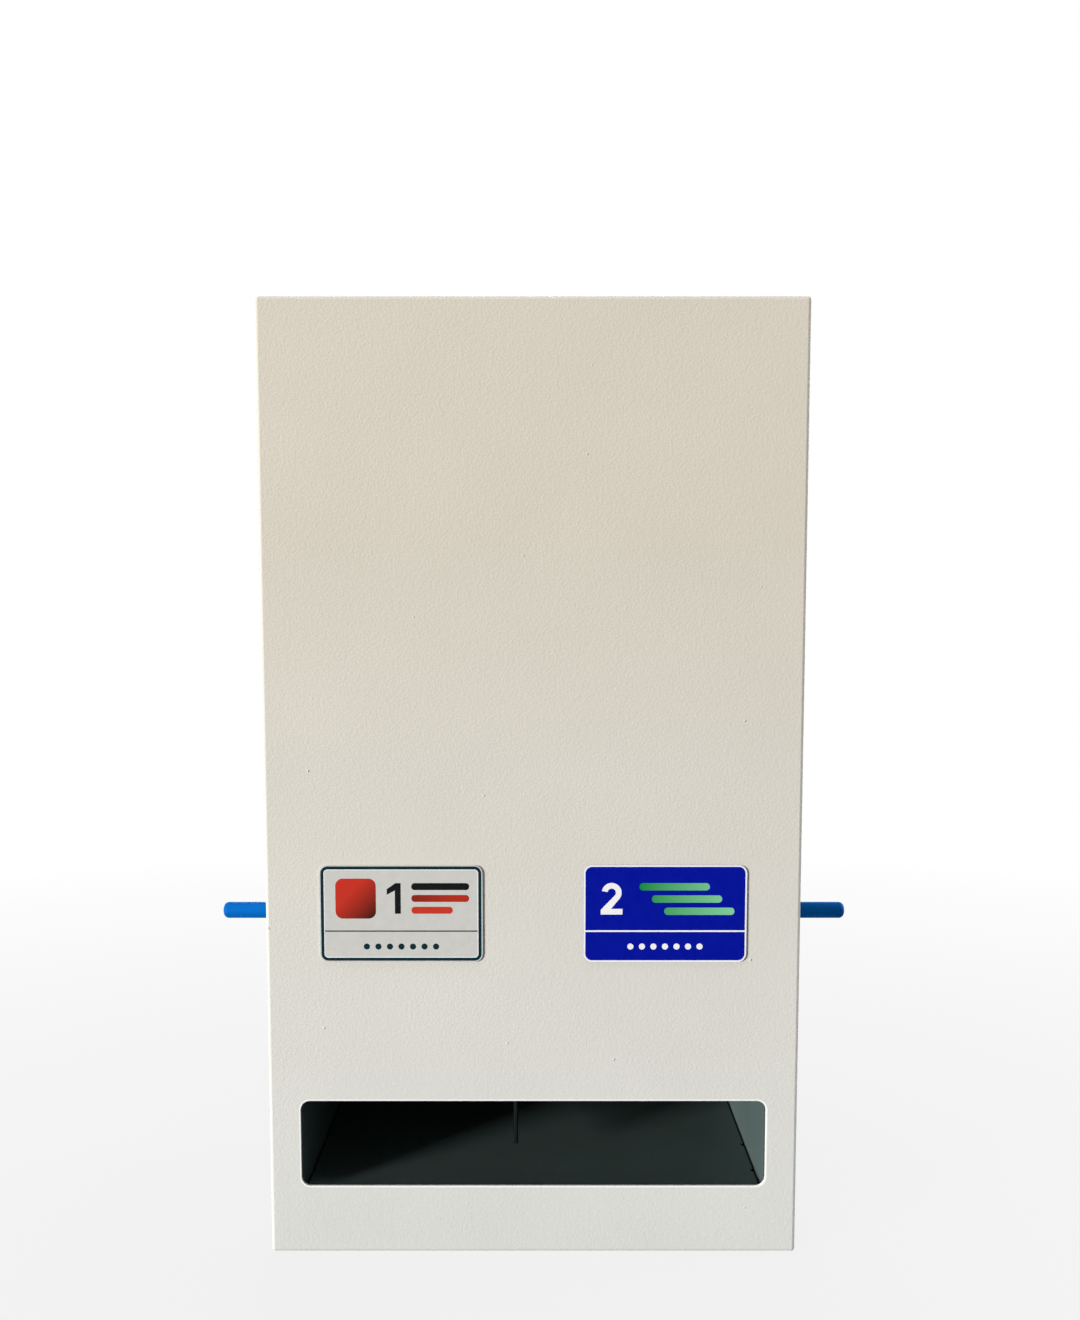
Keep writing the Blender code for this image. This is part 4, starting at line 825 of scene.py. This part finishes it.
def wire_piece(name, points, material):
    """A round wire along a row of points, as a mesh."""
    line = bpy.data.curves.new(name + "_line", "CURVE")
    line.dimensions = "3D"
    line.bevel_depth = WIRE
    line.bevel_resolution = WIRE_ROUNDNESS
    line.use_fill_caps = True
    run = line.splines.new("POLY")
    run.points.add(len(points) - 1)
    for point, place in zip(run.points, points):
        point.co = (*place, 1)
    maker = new_object(name + "_maker", line)
    graph = bpy.context.evaluated_depsgraph_get()
    mesh = bpy.data.meshes.new_from_object(maker.evaluated_get(graph))
    bpy.data.objects.remove(maker)
    mesh.name = name
    mesh.shade_smooth()
    mesh.materials.clear()
    mesh.materials.append(material)
    return new_object(name, mesh)


for side in SIDES:
    points, foot, head = spring_points(side)
    spring = wire_piece(side + "_spring_wire", points, SPRING)
    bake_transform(spring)
    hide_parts(side + "_return_spring")


# Floor, light and camera. Seen from the eye, the floor is FLOOR_LIFT of the way to white near the
# object and white at WHITE_AT metres.
FLOOR_REACH = 6
FLOOR_COLOUR = (0.20, 0.204, 0.21)
FLOOR_LIFT = 0.85
LIFT_AT = 0.15
WHITE_AT = 1.3
SKY_COLOUR = (0.95, 0.98, 1.0, 1)
SKY_LEVEL = 0.115


def seen_directly(tree):
    """1 for rays from the eye, and for mirror and glass rays, which show the same background."""
    path = add(tree, "ShaderNodeLightPath")
    result = path.outputs["Is Camera Ray"]
    for kind in ("Is Glossy Ray", "Is Transmission Ray"):
        result = calculate(tree, "Math", "MAXIMUM", result, path.outputs[kind])
    return result


def mix_shaders(tree, amount, first, second, output):
    mix = add(tree, "ShaderNodeMixShader")
    for socket, source in zip(mix.inputs, (amount, first, second)):
        tree.links.new(source, socket)
    tree.links.new(mix.outputs[0], tree.nodes[output].inputs["Surface"])


def stage_material(name, colour):
    """Pale matt floor that keeps the shadow near the object and turns white further out."""
    made, tree, shader = new_material(name)
    shader.inputs["Roughness"].default_value = 0.9
    shader.inputs["Specular IOR Level"].default_value = 0.1
    tone = blend_colours(tree, clouding(tree, 6), scaled(colour, 0.99), colour)
    tree.links.new(tone, shader.inputs["Base Color"])
    away = calculate(tree, "VectorMath", "LENGTH", coordinates(tree))
    lift = spread(tree, away, FLOOR_LIFT, 1.0, LIFT_AT, WHITE_AT)
    share = calculate(tree, "Math", "MULTIPLY", lift, seen_directly(tree))
    glow = add(tree, "ShaderNodeEmission")
    mix_shaders(tree, share, shader.outputs[0], glow.outputs[0], "Material Output")
    return made


shape = bmesh.new()
outline = block(-FLOOR_REACH, FLOOR_REACH, -FLOOR_REACH, FLOOR_REACH)
shape.faces.new([shape.verts.new((x, y, cad_box[0][2])) for x, y in outline])
floor = from_bmesh("floor", shape, stage_material("pale_floor", FLOOR_COLOUR))

scene = bpy.context.scene
scene.view_settings.view_transform = "Standard"
world = bpy.data.worlds.new("studio")
world.use_nodes = True
scene.world = world
tree = world.node_tree
sky = tree.nodes["Background"]
sky.inputs["Color"].default_value = SKY_COLOUR
sky.inputs["Strength"].default_value = SKY_LEVEL
white = add(tree, "ShaderNodeBackground")
white.inputs["Color"].default_value = (1, 1, 1, 1)
white.inputs["Strength"].default_value = 1.0
mix_shaders(tree, seen_directly(tree), sky.outputs[0], white.outputs[0], "World Output")


def soft_light(name, turn, rise, reach, size, share, colour=(1, 1, 1)):
    """A square lamp turn degrees round from the front towards +X and rise degrees up, reach
    metres away. It lights a surface that faces it at the given share of the plain level."""
    lamp = bpy.data.lights.new(name, "AREA")
    lamp.shape = "SQUARE"
    lamp.size = size
    lamp.energy = share * (math.pi * reach) ** 2
    lamp.color = colour
    made = new_object(name, lamp)
    turn, rise = math.radians(turn), math.radians(rise)
    heading = Vector((
        math.sin(turn) * math.cos(rise), -math.cos(turn) * math.cos(rise), math.sin(rise),
    ))
    middle = Vector((0, 0, (cad_box[0][2] + cad_box[1][2]) / 2))
    made.location = middle + heading * reach
    made.rotation_euler = (-heading).to_track_quat("-Z", "Y").to_euler()


soft_light("key", turn=-54, rise=5, reach=14.0, size=3.0, share=1.35, colour=(1.0, 0.99, 0.97))
soft_light("top", turn=-25, rise=76, reach=2.4, size=0.9, share=0.28)
soft_light("right", turn=105, rise=22, reach=3.0, size=1.0, share=0.64)
soft_light("back", turn=185, rise=22, reach=3.0, size=1.0, share=0.62)

# The camera, fitted to the photo in pixels of its 1080 by 1320 frame
FRAME_HEIGHT = 1320
FOCAL_LENGTH = 1136.6
CENTRE_ROW = 769.8
SENSOR = 36
TILT_DOWN = 4.502

camera = bpy.data.cameras.new("camera")
camera.sensor_width = SENSOR
camera.lens = FOCAL_LENGTH / FRAME_HEIGHT * SENSOR
camera.shift_y = (CENTRE_ROW - FRAME_HEIGHT / 2) / FRAME_HEIGHT
camera.clip_start = 0.01
view = new_object("camera", camera)
view.location = (0.0033, -0.6142, 0.2838)
view.rotation_euler = (math.radians(90 - TILT_DOWN), 0, 0)
scene.camera = view
